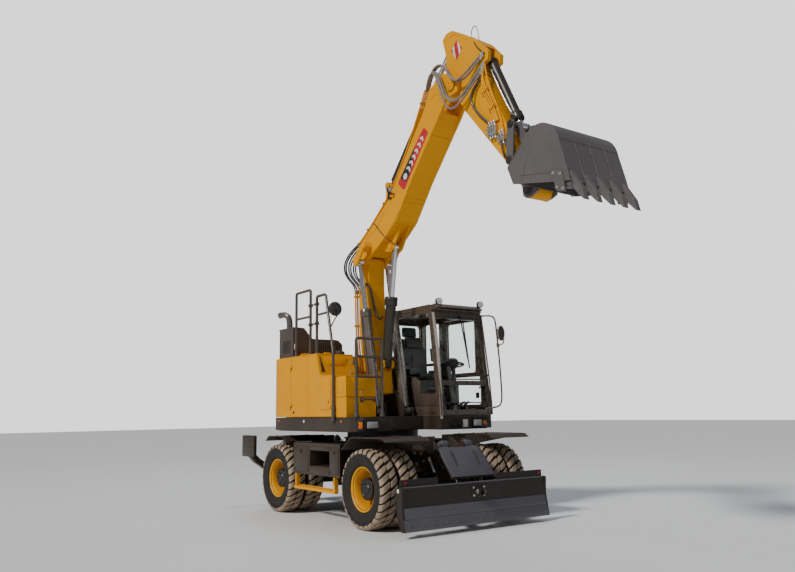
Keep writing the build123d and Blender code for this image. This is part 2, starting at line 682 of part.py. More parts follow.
# ---------------------------------------------------------------- handrails
rail_radius = 17.0
rail_y = -1180.0
low_rail_y = -side_y - rail_radius - 4
tank_rail_x = 1100.0
rail_runs = (
    ((-695, rail_y, body_top), (-695, rail_y, 3450), (-220, rail_y, 3450), (-220, rail_y, body_top)),
    ((-17, rail_y, body_top), (-17, rail_y, 3318), (255, rail_y, 3318), (628, low_rail_y, 2390),
     (628, low_rail_y, 1430)),
    ((tank_rail_x, -1170, skirt_top), (tank_rail_x, -1170, 2580), (tank_rail_x, -740, 2580),
     (tank_rail_x, -740, skirt_top)),
)
with BuildPart() as handrails:
    for run in rail_runs:
        tube(run, rail_radius, 60)
    block(608, 648, low_rail_y - 14, -side_y, 1425, 1465)
    round_bar((-695, rail_y, 3030), (-220, rail_y, 3030), rail_radius)
    round_bar((-17, rail_y, 3030), (374, rail_y - 20, 3030), rail_radius)
    for z in (2040, 2320):
        round_bar((tank_rail_x, -1170, z), (tank_rail_x, -740, z), rail_radius)
    for z in (2900, 3200):
        round_bar((-220, rail_y, z), (-17, rail_y, z), 9)
    # round mirror on its stem
    round_bar((468, -1225, 2788), (500, -1230, 2830), 10)
    round_bar((500, -1230, 2830), (790, -1330, 3020), 9)
    round_bar((780, -1330, 3020), (810, -1330, 3020), 100)
save(handrails, "handrails")

# ================================================================ cab
cab_right = channel_left + 2
cab_left = side_y
cab_side = [
    (-560, skirt_top), (1195, skirt_top), (1205, 1560), (1000, 3100), (960, 3175), (-500, 3175), (-560, 3120),
]
cab_inside = [(-500, 1545), (1135, 1545), (938, 3040), (910, 3115), (-460, 3115), (-500, 3080)]
right_window = [(-440, 1710), (520, 1710), (640, 1810), (1075, 1810), (925, 3040), (-440, 3040)]
left_window = [(-440, 1900), (-10, 1900), (-10, 3030), (-440, 3030)]
door_opening = [(100, 1530), (1110, 1530), (920, 3040), (100, 3040)]
windscreen = [(cab_right + 70, 2000), (cab_left - 70, 2000), (cab_left - 70, 2960), (cab_right + 70, 2960)]
toe_window = [(cab_right + 70, 1560), (cab_left - 70, 1560), (cab_left - 70, 1930), (cab_right + 70, 1930)]
rear_window = [(cab_right + 80, 2480), (cab_left - 80, 2480), (cab_left - 80, 3020), (cab_right + 80, 3020)]
cab_hinge_x = 90.0
cab_hinge_y = cab_left + 17.0
cab_hinges = (1720, 2300, 2860)
with BuildPart() as cab_shell:
    plate(cab_side, cab_left, cab_left - cab_right)
    plate(cab_inside, cab_left - cab_wall, cab_left - cab_right - 2 * cab_wall, mode=Mode.SUBTRACT)
    plate(right_window, cab_right + cab_wall + 1, cab_wall + 2, corner=40, mode=Mode.SUBTRACT)
    plate(left_window, cab_left + 1, cab_wall + 2, corner=40, mode=Mode.SUBTRACT)
    plate(door_opening, cab_left + 1, cab_wall + 2, mode=Mode.SUBTRACT)
    cross_plate(windscreen, 900, 400, corner=50, mode=Mode.SUBTRACT)
    cross_plate(toe_window, 1000, 300, corner=50, mode=Mode.SUBTRACT)
    cross_plate(rear_window, -570, 80, corner=50, mode=Mode.SUBTRACT)
    hinge_lugs(cab_hinge_x, cab_hinge_y, 60, cab_left - 3, cab_hinges)
save(cab_shell, "cab_shell")

door_gap = 10.0
door_panes = []
for z_lo, z_hi in ((1640, 2080), (2150, 2970)):
    front = 1085 - (z_hi - door_opening[1][1]) * 0.126
    door_panes.append([(190, z_lo), (front, z_lo), (front, z_hi), (190, z_hi)])
with BuildPart() as cab_door:
    with BuildSketch(side_plane(cab_left)) as door_face:
        with BuildLine():
            Polyline(*door_opening, close=True)
        make_face()
        offset(amount=-door_gap, kind=Kind.INTERSECTION)
    extrude(door_face.sketch, amount=cab_wall - 6)
    for pane in door_panes:
        plate(pane, cab_left + 1, cab_wall + 2, corner=40, mode=Mode.SUBTRACT)
    hinge_leaves(cab_hinge_x, cab_hinge_y, door_opening[0][0] + door_gap, cab_left, cab_hinges)
save(cab_door, "cab_door")

glass = 6.0
with BuildPart() as door_glass:
    for pane in door_panes:
        plate(pane, cab_left - 20, glass, corner=40)
save(door_glass, "door_glass")

with BuildPart() as cab_glass:
    plate(right_window, cab_right + 26, glass, corner=40)
    plate(left_window, cab_left - 20, glass, corner=40)
    cross_plate(rear_window, -540, glass, corner=50)
    front_face = [(1205 - 20, 1560), (1205 - 20 - glass, 1560), (1000 - 20 - glass, 3100), (1000 - 20, 3100)]
    for window in (windscreen, toe_window):
        with BuildPart(mode=Mode.PRIVATE) as pane_block:
            cross_plate(window, 880, 420, corner=50)
        with BuildPart(mode=Mode.PRIVATE) as slab:
            plate(front_face, cab_left, cab_left - cab_right)
        add(pane_block.part & slab.part)
save(cab_glass, "cab_glass")

with BuildPart() as cab_interior:
    seat_y = (cab_left + cab_right) / 2
    block(-150, 420, seat_y - 230, seat_y + 230, 1545, 1800)
    plate([(-120, 1800), (400, 1800), (420, 1900), (380, 1930), (-100, 1900)], seat_y + 250, 500, corner=15)
    plate([(-150, 1850), (-60, 1880), (-150, 2600), (-260, 2600)], seat_y + 240, 480, corner=20)
    plate([(-200, 2600), (-130, 2600), (-150, 2780), (-220, 2780)], seat_y + 140, 280, corner=15)
    for y_lo, y_hi in ((cab_right + cab_wall, seat_y - 270), (seat_y + 270, cab_left - cab_wall - 60)):
        block(-400, 560, y_lo, y_hi, 1545, 2010)
    pin_z(878, seat_y, 1545, 1620, 70)
    round_bar((874, seat_y, 1580), (760, seat_y, 2230), 40)
    round_bar((756, seat_y, 2230), (735, seat_y, 2262), 190)
save(cab_interior, "cab_interior")

with BuildPart() as cab_fittings:
    # visor over the windscreen, work lamps, wide rear-view mirror on its loop
    visor = [(950, 3175.3), (960.5, 3175.3), (1000.7, 3100.3), (1004, 3092), (1110, 3120), (1100, 3140), (1000, 3190)]
    plate(visor, cab_left - 40, 900)
    for y_lamp in (353, 1200):
        block(1010, 1090, y_lamp - 55, y_lamp + 55, 3165, 3265)
    tube(((1214, 1190, 1600), (1330, 1290, 1640), (1330, 1290, 2960), (1017, 1150, 3020)), 13, 45)
    block(1335, 1375, 1220, 1420, 2560, 2900)
save(cab_fittings, "cab_fittings")

# ================================================================ lower boom and its cylinders
lower_boom_side = [
    (60, 1880), (-130, 2700), (-150, 2900), (-150, 3400), (-130, 3560), (-40, 3930), (150, 3930), (140, 3550),
    (180, 2800), (290, 2400), (350, 1830),
]
with BuildPart() as lower_boom:
    plate(lower_boom_side, boom_y + boom_half, 2 * boom_half)
    pin_y(boom_foot, boom_y, 150, 2 * boom_half)
    pin_y(boom_fold, boom_y, 95, 2 * boom_half)
    adjust_bracket = [(170, 2700), (300, 2430), (340, 2342), (455, 2332), (460, 2220), (400, 2190), (280, 2150)]
    for y_left in (boom_y + 90, boom_y - 66):
        plate(adjust_bracket, y_left, 24)
    pin_y(adjust_foot, boom_y, 35, 200)
    pin_y(boom_foot, boom_y, 45 + fit, 2 * boom_half + 2, Mode.SUBTRACT)
    pin_y(boom_fold, boom_y, 45 + fit, 2 * boom_half + 2, Mode.SUBTRACT)
save(lower_boom, "lower_boom")

lift_barrel_length = 1600.0
with BuildPart() as lift_barrels:
    for side in (1, -1):
        y = boom_y + side * lift_y
        foot, eye = at_y(lift_foot, y), at_y(boom_fold, y)
        pin_y(lift_foot, y, 72, 110)
        barrel(foot, eye, 75, lift_barrel_length, 70, 37.5, 120)
        pin_y(lift_foot, y, 38 + fit, 112, Mode.SUBTRACT)
save(lift_barrels, "lift_barrels")

with BuildPart() as lift_rods:
    for side in (1, -1):
        y = boom_y + side * lift_y
        rod(at_y(lift_foot, y), at_y(boom_fold, y), 37.5, 800)
        pin_y(boom_fold, y, 68, 100)
save(lift_rods, "lift_rods")

with BuildPart() as adjust_barrel:
    foot, eye = at_y(adjust_foot, boom_y), at_y(adjust_eye, boom_y)
    pin_y(adjust_foot, boom_y, 58, 120)
    barrel(foot, eye, 82.5, 1035, 100, 45, 110)
    pin_y(adjust_foot, boom_y, 35 + fit, 122, Mode.SUBTRACT)
save(adjust_barrel, "adjust_barrel")

with BuildPart() as adjust_rod:
    rod(foot, eye, 45, 660)
    pin_y(adjust_eye, boom_y, 50, 120)
save(adjust_rod, "adjust_rod")

# ================================================================ upper boom and the arm cylinder
upper_boom_side = [
    (56, 3830), (380, 4050), (720, 4220), (1000, 4420), (1410, 4940), (1990, 5580), (2150, 5750), (2260, 5900),
    (2520, 5925), (2570, 6120), (2440, 6240), (2200, 6300), (1890, 6180), (1760, 5920), (790, 4780),
    (300, 4440), (-30, 4230), (-250, 3970), (-60, 3850),
]
upper_boom_core = [
    (235, 3990), (380, 4050), (720, 4220), (1000, 4420), (1410, 4940), (1990, 5580), (2130, 5760), (2060, 5830),
    (1760, 5920), (790, 4780), (300, 4440), (-30, 4230), (-230, 4080),
]
lobe = [(20, 3850), (120, 3870), (310, 4110), (190, 4150), (60, 4020), (-20, 3960)]
lobe_bridge = [(215, 4060), (330, 4130), (300, 4200), (180, 4150)]
with BuildPart() as upper_boom:
    for y_left in (boom_y + fork_outer, boom_y - fork_inner):
        plate(upper_boom_side, y_left, fork_outer - fork_inner)
    plate(upper_boom_core, boom_y + fork_inner, 2 * fork_inner)
    pin_y(boom_fold, boom_y, 45 + 75, 2 * fork_inner, Mode.SUBTRACT)
    pin_y(boom_fold, boom_y, 45, 2 * fork_outer)
    pin_y(arm_pivot, boom_y, 50, 2 * fork_outer + 20)
    for side in (1, -1):
        inner, outer = boom_y + side * lobe_inner, boom_y + side * lobe_outer
        plate(lobe, max(inner, outer), lobe_outer - lobe_inner, corner=15)
        inner, outer = boom_y + side * (fork_outer - 10), boom_y + side * (lobe_inner + 5)
        plate(lobe_bridge, max(inner, outer), lobe_inner + 15 - fork_outer)
    belly_bracket = [(1000, 4430), (580, 4200), (420, 4100), (560, 4020), (680, 4000), (760, 4040), (900, 4250)]
    back_bracket = [(560, 4580), (590, 5080), (640, 5130), (700, 5110), (880, 4860), (800, 4720)]
    for y_left in (boom_y + 95, boom_y - 67):
        plate(belly_bracket, y_left, 28)
        plate(back_bracket, y_left, 28)
    pin_y(arm_cylinder_foot, boom_y, 35, 200)
save(upper_boom, "upper_boom")

with BuildPart() as arm_barrel:
    foot, eye = at_y(arm_cylinder_foot, boom_y), at_y(arm_cylinder_eye, boom_y)
    pin_y(arm_cylinder_foot, boom_y, 58, 120)
    barrel(foot, eye, 68, 1300, 90, 40, 105)
    pin_y(arm_cylinder_foot, boom_y, 35 + fit, 122, Mode.SUBTRACT)
save(arm_barrel, "arm_barrel")

with BuildPart() as arm_rod:
    rod(foot, eye, 40, 1080)
    pin_y(arm_cylinder_eye, boom_y, 62, 120)
save(arm_rod, "arm_rod")

# ================================================================ arm
arm_side = [
    (2240, 6350), (2225, 6600), (2157, 6850), (2250, 6920), (2386, 6910), (2600, 6770), (2910, 6540),
    (3120, 6300), (3110, 6180), (2960, 6130), (3473, 5045), (3640, 4640), (3860, 4290), (3860, 4130),
    (3700, 4120), (3580, 4400), (3370, 4680), (2600, 5630), (2440, 5900), (2300, 5940), (2240, 6060),
]
with BuildPart() as arm:
    plate(arm_side, boom_y + arm_half, 2 * arm_half)
    pin_y(arm_pivot, boom_y, 150, 2 * boom_half)
    pin_y(arm_pivot, boom_y, 50 + fit, 2 * boom_half + 2, Mode.SUBTRACT)
    pin_y(bucket_pivot, boom_y, 110, 2 * arm_half)
    pin_y(bucket_pivot, boom_y, 40 + fit, 2 * arm_half + 2, Mode.SUBTRACT)
    pin_y(idler_pivot, boom_y, 35 + fit, 2 * arm_half + 2, Mode.SUBTRACT)
    # slots for the eyes of the arm cylinder and the bucket cylinder
    block(2000, 2440, boom_y - 90, boom_y + 90, 6600, 7000, Mode.SUBTRACT)
    block(2925, 3200, boom_y - 84, boom_y + 84, 6060, 6420, Mode.SUBTRACT)
    pin_y(bucket_cylinder_foot, boom_y, 32, 2 * arm_half)
save(arm, "arm")

with BuildPart() as bucket_barrel:
    foot, eye = at_y(bucket_cylinder_foot, boom_y), at_y(link_joint, boom_y)
    pin_y(bucket_cylinder_foot, boom_y, 60, 120)
    barrel(foot, eye, 68, 1100, 80, 36, 95)
    pin_y(bucket_cylinder_foot, boom_y, 32 + fit, 122, Mode.SUBTRACT)
save(bucket_barrel, "bucket_barrel")

with BuildPart() as bucket_rod:
    rod(foot, eye, 36, 100)
    pin_y(link_joint, boom_y, 56, 110)
save(bucket_rod, "bucket_rod")

link_inner = 66.0
link_outer = 96.0
idler_inner = 184.0
idler_outer = 208.0


def strap(start, end, radius, y_left, thickness):
    """Flat link with round ends between two (x, z) pins."""
    with BuildSketch(side_plane(y_left)) as face:
        with Locations(start, end):
            Circle(radius)
        make_hull()
    extrude(face.sketch, amount=thickness)


with BuildPart() as idler_links:
    for y_left in (boom_y + idler_outer, boom_y - idler_inner):
        strap(idler_pivot, link_joint, 62, y_left, idler_outer - idler_inner)
    pin_y(idler_pivot, boom_y, 35, 2 * idler_outer + 10)
    for side in (1, -1):
        pin_y(link_joint, boom_y + side * (link_inner + idler_outer) / 2, 30, idler_outer - link_inner)
save(idler_links, "idler_links")

with BuildPart() as h_link:
    for y_left in (boom_y + link_outer, boom_y - link_inner):
        strap(link_joint, bucket_link_pin, 58, y_left, link_outer - link_inner)
    pin_y(bucket_link_pin, boom_y, 58, 2 * arm_half)
    pin_y(link_joint, boom_y, 30 + fit, 2 * link_outer + 2, Mode.SUBTRACT)
save(h_link, "h_link")

# ================================================================ bucket
bucket_heel = [(3925, 4172), (3930, 4350), (4015, 4610)]
bucket_crown = (4290, 4790)
bucket_front = [(4600, 4555), (4700, 4190), (4747, 3998)]
bucket_mouth = [(3952, 4250), (3952, 4000), (4600, 3850), (4718, 3990), (4690, 4110)]
cheek = [(3866, 4184), (3777, 4407), (3850, 4485), (4015, 4624), (4100, 4400), (4000, 4156)]
cutter = [(4488, 4182), (4649, 4136), (4691, 3887), (4560, 3920)]
tooth = [
    (4712, 4130), (4735, 4100), (4800, 4000), (4870, 3890), (4905, 3755), (4885, 3760), (4800, 3850),
    (4745, 3925), (4700, 3935), (4668, 4000),
]
bucket_plate = 25.0


def bucket_side(inset=0.0):
    """Side of the bucket: heel, round crown, front and the straight mouth."""
    with BuildSketch(side_plane(boom_y + bucket_half - inset)) as face:
        with BuildLine():
            Polyline(*bucket_heel)
            ThreePointArc(bucket_heel[-1], bucket_crown, bucket_front[0])
            Polyline(*bucket_front)
            Line(bucket_front[-1], bucket_heel[0])
        make_face()
        if inset:
            offset(amount=-inset)
            with BuildLine():
                Polyline(*bucket_mouth, close=True)
            make_face()
    return face.sketch


with BuildPart() as bucket:
    extrude(bucket_side(), amount=2 * bucket_half)
    extrude(bucket_side(bucket_plate), amount=2 * (bucket_half - bucket_plate), mode=Mode.SUBTRACT)
    for side in (1, -1):
        outer = boom_y + side * bucket_half
        plate(cheek, max(outer, outer - side * bucket_plate), bucket_plate)
        plate(cutter, max(outer - side * 2, outer + side * 20), 22)
    lug = [
        (3690, 4130), (3740, 4095), (3850, 4110), (3930, 4140), (3945, 4300), (4008, 4540), (4010, 4600),
        (3870, 4680), (3790, 4670), (3750, 4600), (3745, 4400), (3680, 4260),
    ]
    for y_left in (boom_y + 176, boom_y - 146):
        plate(lug, y_left, 30, corner=12)
    for side in (1, -1):
        pin_y(bucket_pivot, boom_y + side * 164.5, 75, 37)
        pin_y(bucket_link_pin, boom_y + side * 164, 60, 36)
    pin_y(bucket_pivot, boom_y, 40, 2 * 183)
    for index in range(5):
        y = boom_y + (index - 2) * 217.5
        plate(tooth, y + 35, 70)
save(bucket, "bucket")
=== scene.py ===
import json
import math

import bpy
from mathutils import Matrix, Vector


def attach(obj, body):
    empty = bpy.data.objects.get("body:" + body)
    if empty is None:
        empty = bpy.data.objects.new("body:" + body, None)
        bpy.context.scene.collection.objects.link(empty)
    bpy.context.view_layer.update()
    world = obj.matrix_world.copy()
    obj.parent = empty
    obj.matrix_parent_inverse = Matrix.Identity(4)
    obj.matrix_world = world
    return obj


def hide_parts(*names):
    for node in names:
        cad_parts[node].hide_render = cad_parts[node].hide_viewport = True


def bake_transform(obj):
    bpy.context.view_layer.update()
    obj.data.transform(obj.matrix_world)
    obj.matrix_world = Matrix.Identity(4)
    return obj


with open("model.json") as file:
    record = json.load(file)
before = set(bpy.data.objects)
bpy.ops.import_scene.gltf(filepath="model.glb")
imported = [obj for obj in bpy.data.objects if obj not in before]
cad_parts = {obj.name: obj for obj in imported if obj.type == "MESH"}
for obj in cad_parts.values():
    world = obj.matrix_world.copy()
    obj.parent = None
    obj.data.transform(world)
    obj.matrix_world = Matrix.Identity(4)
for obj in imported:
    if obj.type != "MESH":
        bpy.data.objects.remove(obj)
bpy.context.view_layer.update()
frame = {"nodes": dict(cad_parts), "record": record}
nodes = frame["nodes"]

# Every x below is measured from the swing axis, as in the part's source.
swing_x = -1.18

# ---------------------------------------------------------------- camera
camera = bpy.data.objects.new("view_camera", bpy.data.cameras.new("view_camera"))
bpy.context.scene.collection.objects.link(camera)
bpy.context.scene.camera = camera
camera.data.lens = 34.21
camera.data.sensor_width = 36.0
camera.data.clip_end = 300.0
camera.location = (8.955, -6.7905, 1.5375)
camera.rotation_euler = [math.radians(angle) for angle in (99.48357, 0.875949, 55.053075)]


# ================================================================ how pieces are made
def at(x, y, z):
    return Vector((swing_x + x, y, z))


def select(piece):
    bpy.ops.object.select_all(action="DESELECT")
    piece.select_set(True)
    bpy.context.view_layer.objects.active = piece
    return piece


def settle(piece):
    """Puts the piece's place and turn into its mesh."""
    select(piece)
    bpy.ops.object.transform_apply(location=True, rotation=True, scale=True)
    return piece


def finish_modifier(piece, kind, **settings):
    select(piece)
    modifier = piece.modifiers.new(kind.lower(), kind)
    for setting, value in settings.items():
        setattr(modifier, setting, value)
    bpy.ops.object.modifier_apply(modifier=modifier.name)
    return piece


def ease(piece, width, segments=2, angle=30):
    """Rounds the edges that turn by more than an angle."""
    if not width:
        return piece
    return finish_modifier(piece, "BEVEL", width=width, segments=segments, limit_method="ANGLE",
        angle_limit=math.radians(angle), harden_normals=False)


def block(x_lo, x_hi, y_lo, y_hi, z_lo, z_hi, edge=0.004):
    middle = at((x_lo + x_hi) / 2, (y_lo + y_hi) / 2, (z_lo + z_hi) / 2)
    bpy.ops.mesh.primitive_cube_add(size=1, location=middle)
    piece = bpy.context.active_object
    piece.scale = (abs(x_hi - x_lo), abs(y_hi - y_lo), abs(z_hi - z_lo))
    return ease(settle(piece), edge)


def bar(start, end, radius, sides=20, edge=0.0, tip=None):
    """Round bar between two points; tip is the radius at its end, where that differs."""
    run = end - start
    bpy.ops.mesh.primitive_cone_add(vertices=sides, radius1=radius, radius2=radius if tip is None else tip,
        depth=run.length, location=(start + end) / 2, rotation=run.to_track_quat("Z", "Y").to_euler())
    return ease(settle(bpy.context.active_object), edge, angle=50)


def slab(outline, depth, edge=0.004):
    """Flat outline of points pushed out along a vector."""
    bpy.ops.mesh.primitive_circle_add(vertices=len(outline), fill_type="NGON")
    piece = settle(bpy.context.active_object)
    for vertex, point in zip(piece.data.vertices, outline):
        vertex.co = point
    bpy.ops.object.mode_set(mode="EDIT")
    bpy.ops.mesh.select_all(action="SELECT")
    bpy.ops.mesh.extrude_region_move(TRANSFORM_OT_translate={"value": depth})
    bpy.ops.mesh.select_all(action="SELECT")
    bpy.ops.mesh.normals_make_consistent(inside=False)
    bpy.ops.object.mode_set(mode="OBJECT")
    return ease(piece, edge)


def side_slab(outline, y, thickness, edge=0.004):
    """Side outline of (x, z) points, from y towards the left by a thickness."""
    return slab([at(x, y, z) for x, z in outline], (0, thickness, 0), edge)


def turned(profile, centre, axis, steps=48, angle=360, start=0):
    """Spins a closed outline of (along the axis, radius) points round an axis through a centre."""
    axis = Vector(axis).normalized()
    out = axis.orthogonal().normalized()
    out = Matrix.Rotation(math.radians(start), 3, axis) @ out
    bpy.ops.mesh.primitive_circle_add(vertices=len(profile), fill_type="NOTHING")
    piece = settle(bpy.context.active_object)
    for vertex, (along, radius) in zip(piece.data.vertices, profile):
        vertex.co = centre + axis * along + out * radius
    bpy.ops.object.mode_set(mode="EDIT")
    bpy.ops.mesh.select_all(action="SELECT")
    bpy.ops.mesh.spin(steps=steps, angle=math.radians(angle), center=centre, axis=axis)
    bpy.ops.mesh.select_all(action="SELECT")
    bpy.ops.mesh.remove_doubles(threshold=0.0002)
    bpy.ops.mesh.normals_make_consistent(inside=False)
    bpy.ops.object.mode_set(mode="OBJECT")
    return piece


def hose(points, radius, sides=3, smooth=4):
    """Round hose or pipe along a smooth line through its corners."""
    curve = bpy.data.curves.new("hose", "CURVE")
    curve.dimensions = "3D"
    curve.bevel_depth = radius
    curve.bevel_resolution = sides
    curve.resolution_u = 6
    curve.use_fill_caps = True
    line = curve.splines.new("NURBS")
    line.points.add(len(points) - 1)
    for point, place in zip(line.points, points):
        point.co = (*at(*place), 1)
    line.order_u = min(smooth, len(points))
    line.use_endpoint_u = True
    piece = bpy.data.objects.new("hose", curve)
    bpy.context.scene.collection.objects.link(piece)
    select(piece)
    bpy.ops.object.convert(target="MESH")
    return bpy.context.active_object


def copy_of(piece, matrix):
    twin = piece.copy()
    twin.data = piece.data.copy()
    twin.data.transform(matrix)
    bpy.context.scene.collection.objects.link(twin)
    return twin


def mirrored(piece, y=0.0):
    """Twin on the other side of a plane across Y, turned the right way out."""
    flip = Matrix.Translation((0, 2 * y, 0)) @ Matrix.Diagonal((1, -1, 1, 1))
    twin = copy_of(piece, flip)
    twin.data.flip_normals()
    return twin


def shifted(piece, x, y, z):
    return copy_of(piece, Matrix.Translation((x, y, z)))


def round_and_round(piece, count, centre, axis, skip_first=True):
    """Copies of a piece set evenly round an axis."""
    centre = Vector(centre)
    there, back = Matrix.Translation(centre), Matrix.Translation(-centre)
    return [copy_of(piece, there @ Matrix.Rotation(math.tau * step / count, 4, Vector(axis)) @ back)
        for step in range(1 if skip_first else 0, count)]


def bolt(place, axis, size=0.012, height=0.01):
    """Hexagon bolt head on its washer, looking along an axis."""
    axis = Vector(axis).normalized()
    washer = bar(place - axis * 0.002, place + axis * 0.003, size * 1.35, sides=14)
    head = bar(place + axis * 0.002, place + axis * height, size, sides=6)
    return join([head, washer])


def join(pieces):
    if len(pieces) > 1:
        bpy.ops.object.select_all(action="DESELECT")
        for piece in pieces:
            piece.select_set(True)
        bpy.context.view_layer.objects.active = pieces[0]
        bpy.ops.object.join()
    return pieces[0]


def fit(name, body, finish, pieces, smooth=35):
    """Makes one named piece of the shapes, gives it its finish and hangs it on its body; a piece given two bodies
    is fixed where it stands and hung on neither.
    """
    piece = join(list(pieces) if isinstance(pieces, (list, tuple)) else [pieces])
    piece.name = name
    piece.data.name = name
    piece.data.materials.clear()
    piece.data.materials.append(finish)
    select(piece)
    bpy.ops.object.shade_smooth_by_angle(angle=math.radians(smooth))
    if isinstance(body, tuple):
        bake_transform(piece)
    else:
        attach(piece, body)
    return piece


# ================================================================ finishes
def surface(name, colour, shade, patch=1.5, grain=90.0, rough=(0.35, 0.5), bump=0.05, metal=0.0, coat=0.0,
        wear=None, wear_share=0.35, dust=None, dust_share=0.3, edge=0.006, stretch=(1, 1, 1), shine=0.5):
    """Paint, cast or rubber finish: two tones in patches, fine grain, worn edges and dust."""
    finish = bpy.data.materials.new(name)
    finish.use_nodes = True
    tree = finish.node_tree
    shader = tree.nodes["Principled BSDF"]
    link = tree.links.new

    def node(kind, **values):
        made = tree.nodes.new("ShaderNode" + kind)
        for key, value in values.items():
            if key in made.inputs:
                made.inputs[key].default_value = value
            else:
                setattr(made, key, value)
        return made

    place = node("TexCoord")
    mapping = node("Mapping")
    mapping.inputs["Scale"].default_value = stretch
    link(place.outputs["Object"], mapping.inputs["Vector"])
    patches = node("TexNoise", Scale=patch, Detail=4.0, Roughness=0.6)
    fine = node("TexNoise", Scale=grain, Detail=3.0, Roughness=0.6)
    specks = node("TexNoise", Scale=grain / 6, Detail=5.0, Roughness=0.7)
    for texture in (patches, fine, specks):
        link(mapping.outputs["Vector"], texture.inputs["Vector"])
    tones = node("ValToRGB")
    tones.color_ramp.elements[0].position = 0.35
    tones.color_ramp.elements[1].position = 0.68
    tones.color_ramp.elements[0].color = (*shade, 1)
    tones.color_ramp.elements[1].color = (*colour, 1)
    link(patches.outputs["Fac"], tones.inputs["Fac"])
    tone = tones.outputs["Color"]

    def laid_over(under, over, amount):
        mix = node("Mix", data_type="RGBA")
        link(under, mix.inputs[6])
        mix.inputs[7].default_value = (*over, 1)
        link(amount, mix.inputs[0])
        return mix.outputs[2]

    def ranged(value, low, high, out_low, out_high):
        span = node("MapRange")
        span.inputs["From Min"].default_value = low
        span.inputs["From Max"].default_value = high
        span.inputs["To Min"].default_value = out_low
        span.inputs["To Max"].default_value = out_high
        link(value, span.inputs["Value"])
        return span.outputs["Result"]

    def times(first, second):
        product = node("Math", operation="MULTIPLY")
        link(first, product.inputs[0])
        link(second, product.inputs[1])
        return product.outputs[0]

    rounded = node("Bevel", samples=4)
    rounded.inputs["Radius"].default_value = edge
    if wear:
        flat = node("NewGeometry")
        turn = node("VectorMath", operation="DOT_PRODUCT")
        link(rounded.outputs["Normal"], turn.inputs[0])
        link(flat.outputs["Normal"], turn.inputs[1])
        edges = ranged(turn.outputs["Value"], 0.86, 0.99, 1.0, 0.0)
        chips = ranged(specks.outputs["Fac"], 0.42, 0.62, 0.0, wear_share)
        tone = laid_over(tone, wear, times(edges, chips))
    if dust:
        upward = node("NewGeometry")
        split = node("SeparateXYZ")
        link(upward.outputs["Normal"], split.inputs[0])
        facing_up = ranged(split.outputs["Z"], -0.1, 1.0, 0.25, 1.0)
        settled = ranged(specks.outputs["Fac"], 0.35, 0.7, 0.0, dust_share)
        tone = laid_over(tone, dust, times(facing_up, settled))
    link(tone, shader.inputs["Base Color"])
    link(ranged(specks.outputs["Fac"], 0.3, 0.7, rough[0], rough[1]), shader.inputs["Roughness"])
    relief = node("Bump", Strength=bump, Distance=0.002)
    link(fine.outputs["Fac"], relief.inputs["Height"])
    link(rounded.outputs["Normal"], relief.inputs["Normal"])
    link(relief.outputs["Normal"], shader.inputs["Normal"])
    shader.inputs["Metallic"].default_value = metal
    shader.inputs["Specular IOR Level"].default_value = shine
    shader.inputs["Coat Weight"].default_value = coat
    shader.inputs["Coat Roughness"].default_value = 0.12
    return finish


dusty = (0.24, 0.18, 0.125)
bare_steel = (0.34, 0.31, 0.28)
yellow_paint = surface("yellow_paint", (0.8, 0.35, 0.0), (0.75, 0.32, 0.0), rough=(0.32, 0.46), bump=0.03,
    wear=(0.92, 0.52, 0.03), wear_share=0.3, dust=dusty, dust_share=0.01, shine=0.16)
rim_paint = surface("rim_paint", (0.84, 0.37, 0.0), (0.76, 0.32, 0.0), patch=6.0, rough=(0.3, 0.5), shine=0.2,
    dust=dusty, dust_share=0.04)
frame_paint = surface("frame_paint", (0.058, 0.041, 0.03), (0.042, 0.03, 0.022), rough=(0.34, 0.52), shine=0.35,
    wear=(0.2, 0.17, 0.145), wear_share=0.2, dust=dusty, dust_share=0.05)
cab_paint = surface("cab_paint", (0.098, 0.073, 0.056), (0.08, 0.059, 0.046), rough=(0.22, 0.34), coat=0.3,
    wear=(0.22, 0.18, 0.15), wear_share=0.1, dust=dusty, dust_share=0.03)
hood_plastic = surface("hood_plastic", (0.088, 0.069, 0.055), (0.066, 0.052, 0.042), grain=220.0, rough=(0.34, 0.5),
    bump=0.12, dust=dusty, dust_share=0.08)
blade_paint = surface("blade_paint", (0.03, 0.0235, 0.019), (0.022, 0.017, 0.014), rough=(0.34, 0.5), shine=0.3,
    wear=bare_steel, wear_share=0.2, dust=dusty, dust_share=0.02)
# bluish grey plate paint; on the blade's sloped face, cutting edge and top bar and along the hood's edges it is a
# painted sky reflection
plate_paint_and_sky_sheen = surface("plate_paint_and_sky_sheen", (0.092, 0.086, 0.1), (0.074, 0.07, 0.083), rough=(0.28, 0.42), coat=0.2,
    wear=bare_steel, wear_share=0.2, dust=dusty, dust_share=0.01)
bucket_paint = surface("bucket_paint", (0.125, 0.111, 0.11), (0.104, 0.093, 0.094), rough=(0.32, 0.48), coat=0.12,
    wear=bare_steel, wear_share=0.3, dust=dusty, dust_share=0.03)
rail_paint = surface("rail_paint", (0.085, 0.066, 0.054), (0.065, 0.05, 0.041), rough=(0.3, 0.5), coat=0.15,
    wear=bare_steel, wear_share=0.2, dust=dusty, dust_share=0.05)
chrome = surface("chrome", (0.86, 0.86, 0.88), (0.8, 0.8, 0.82), rough=(0.08, 0.16), bump=0.01, metal=1.0,
    stretch=(1, 1, 0.2))
barrel_steel = surface("barrel_steel", (0.21, 0.175, 0.15), (0.15, 0.125, 0.105), rough=(0.2, 0.32), metal=0.5,
    coat=0.25, dust=dusty, dust_share=0.05)
cylinder_paint = surface("cylinder_paint", (0.036, 0.027, 0.02), (0.026, 0.019, 0.014), rough=(0.28, 0.42),
    coat=0.12, dust=dusty, dust_share=0.05)
tyre_rubber = surface("tyre_rubber", (0.017, 0.014, 0.012), (0.009, 0.008, 0.007), patch=9.0, grain=160.0,
    rough=(0.7, 0.9), bump=0.35, dust=(0.2, 0.15, 0.11), dust_share=0.1)
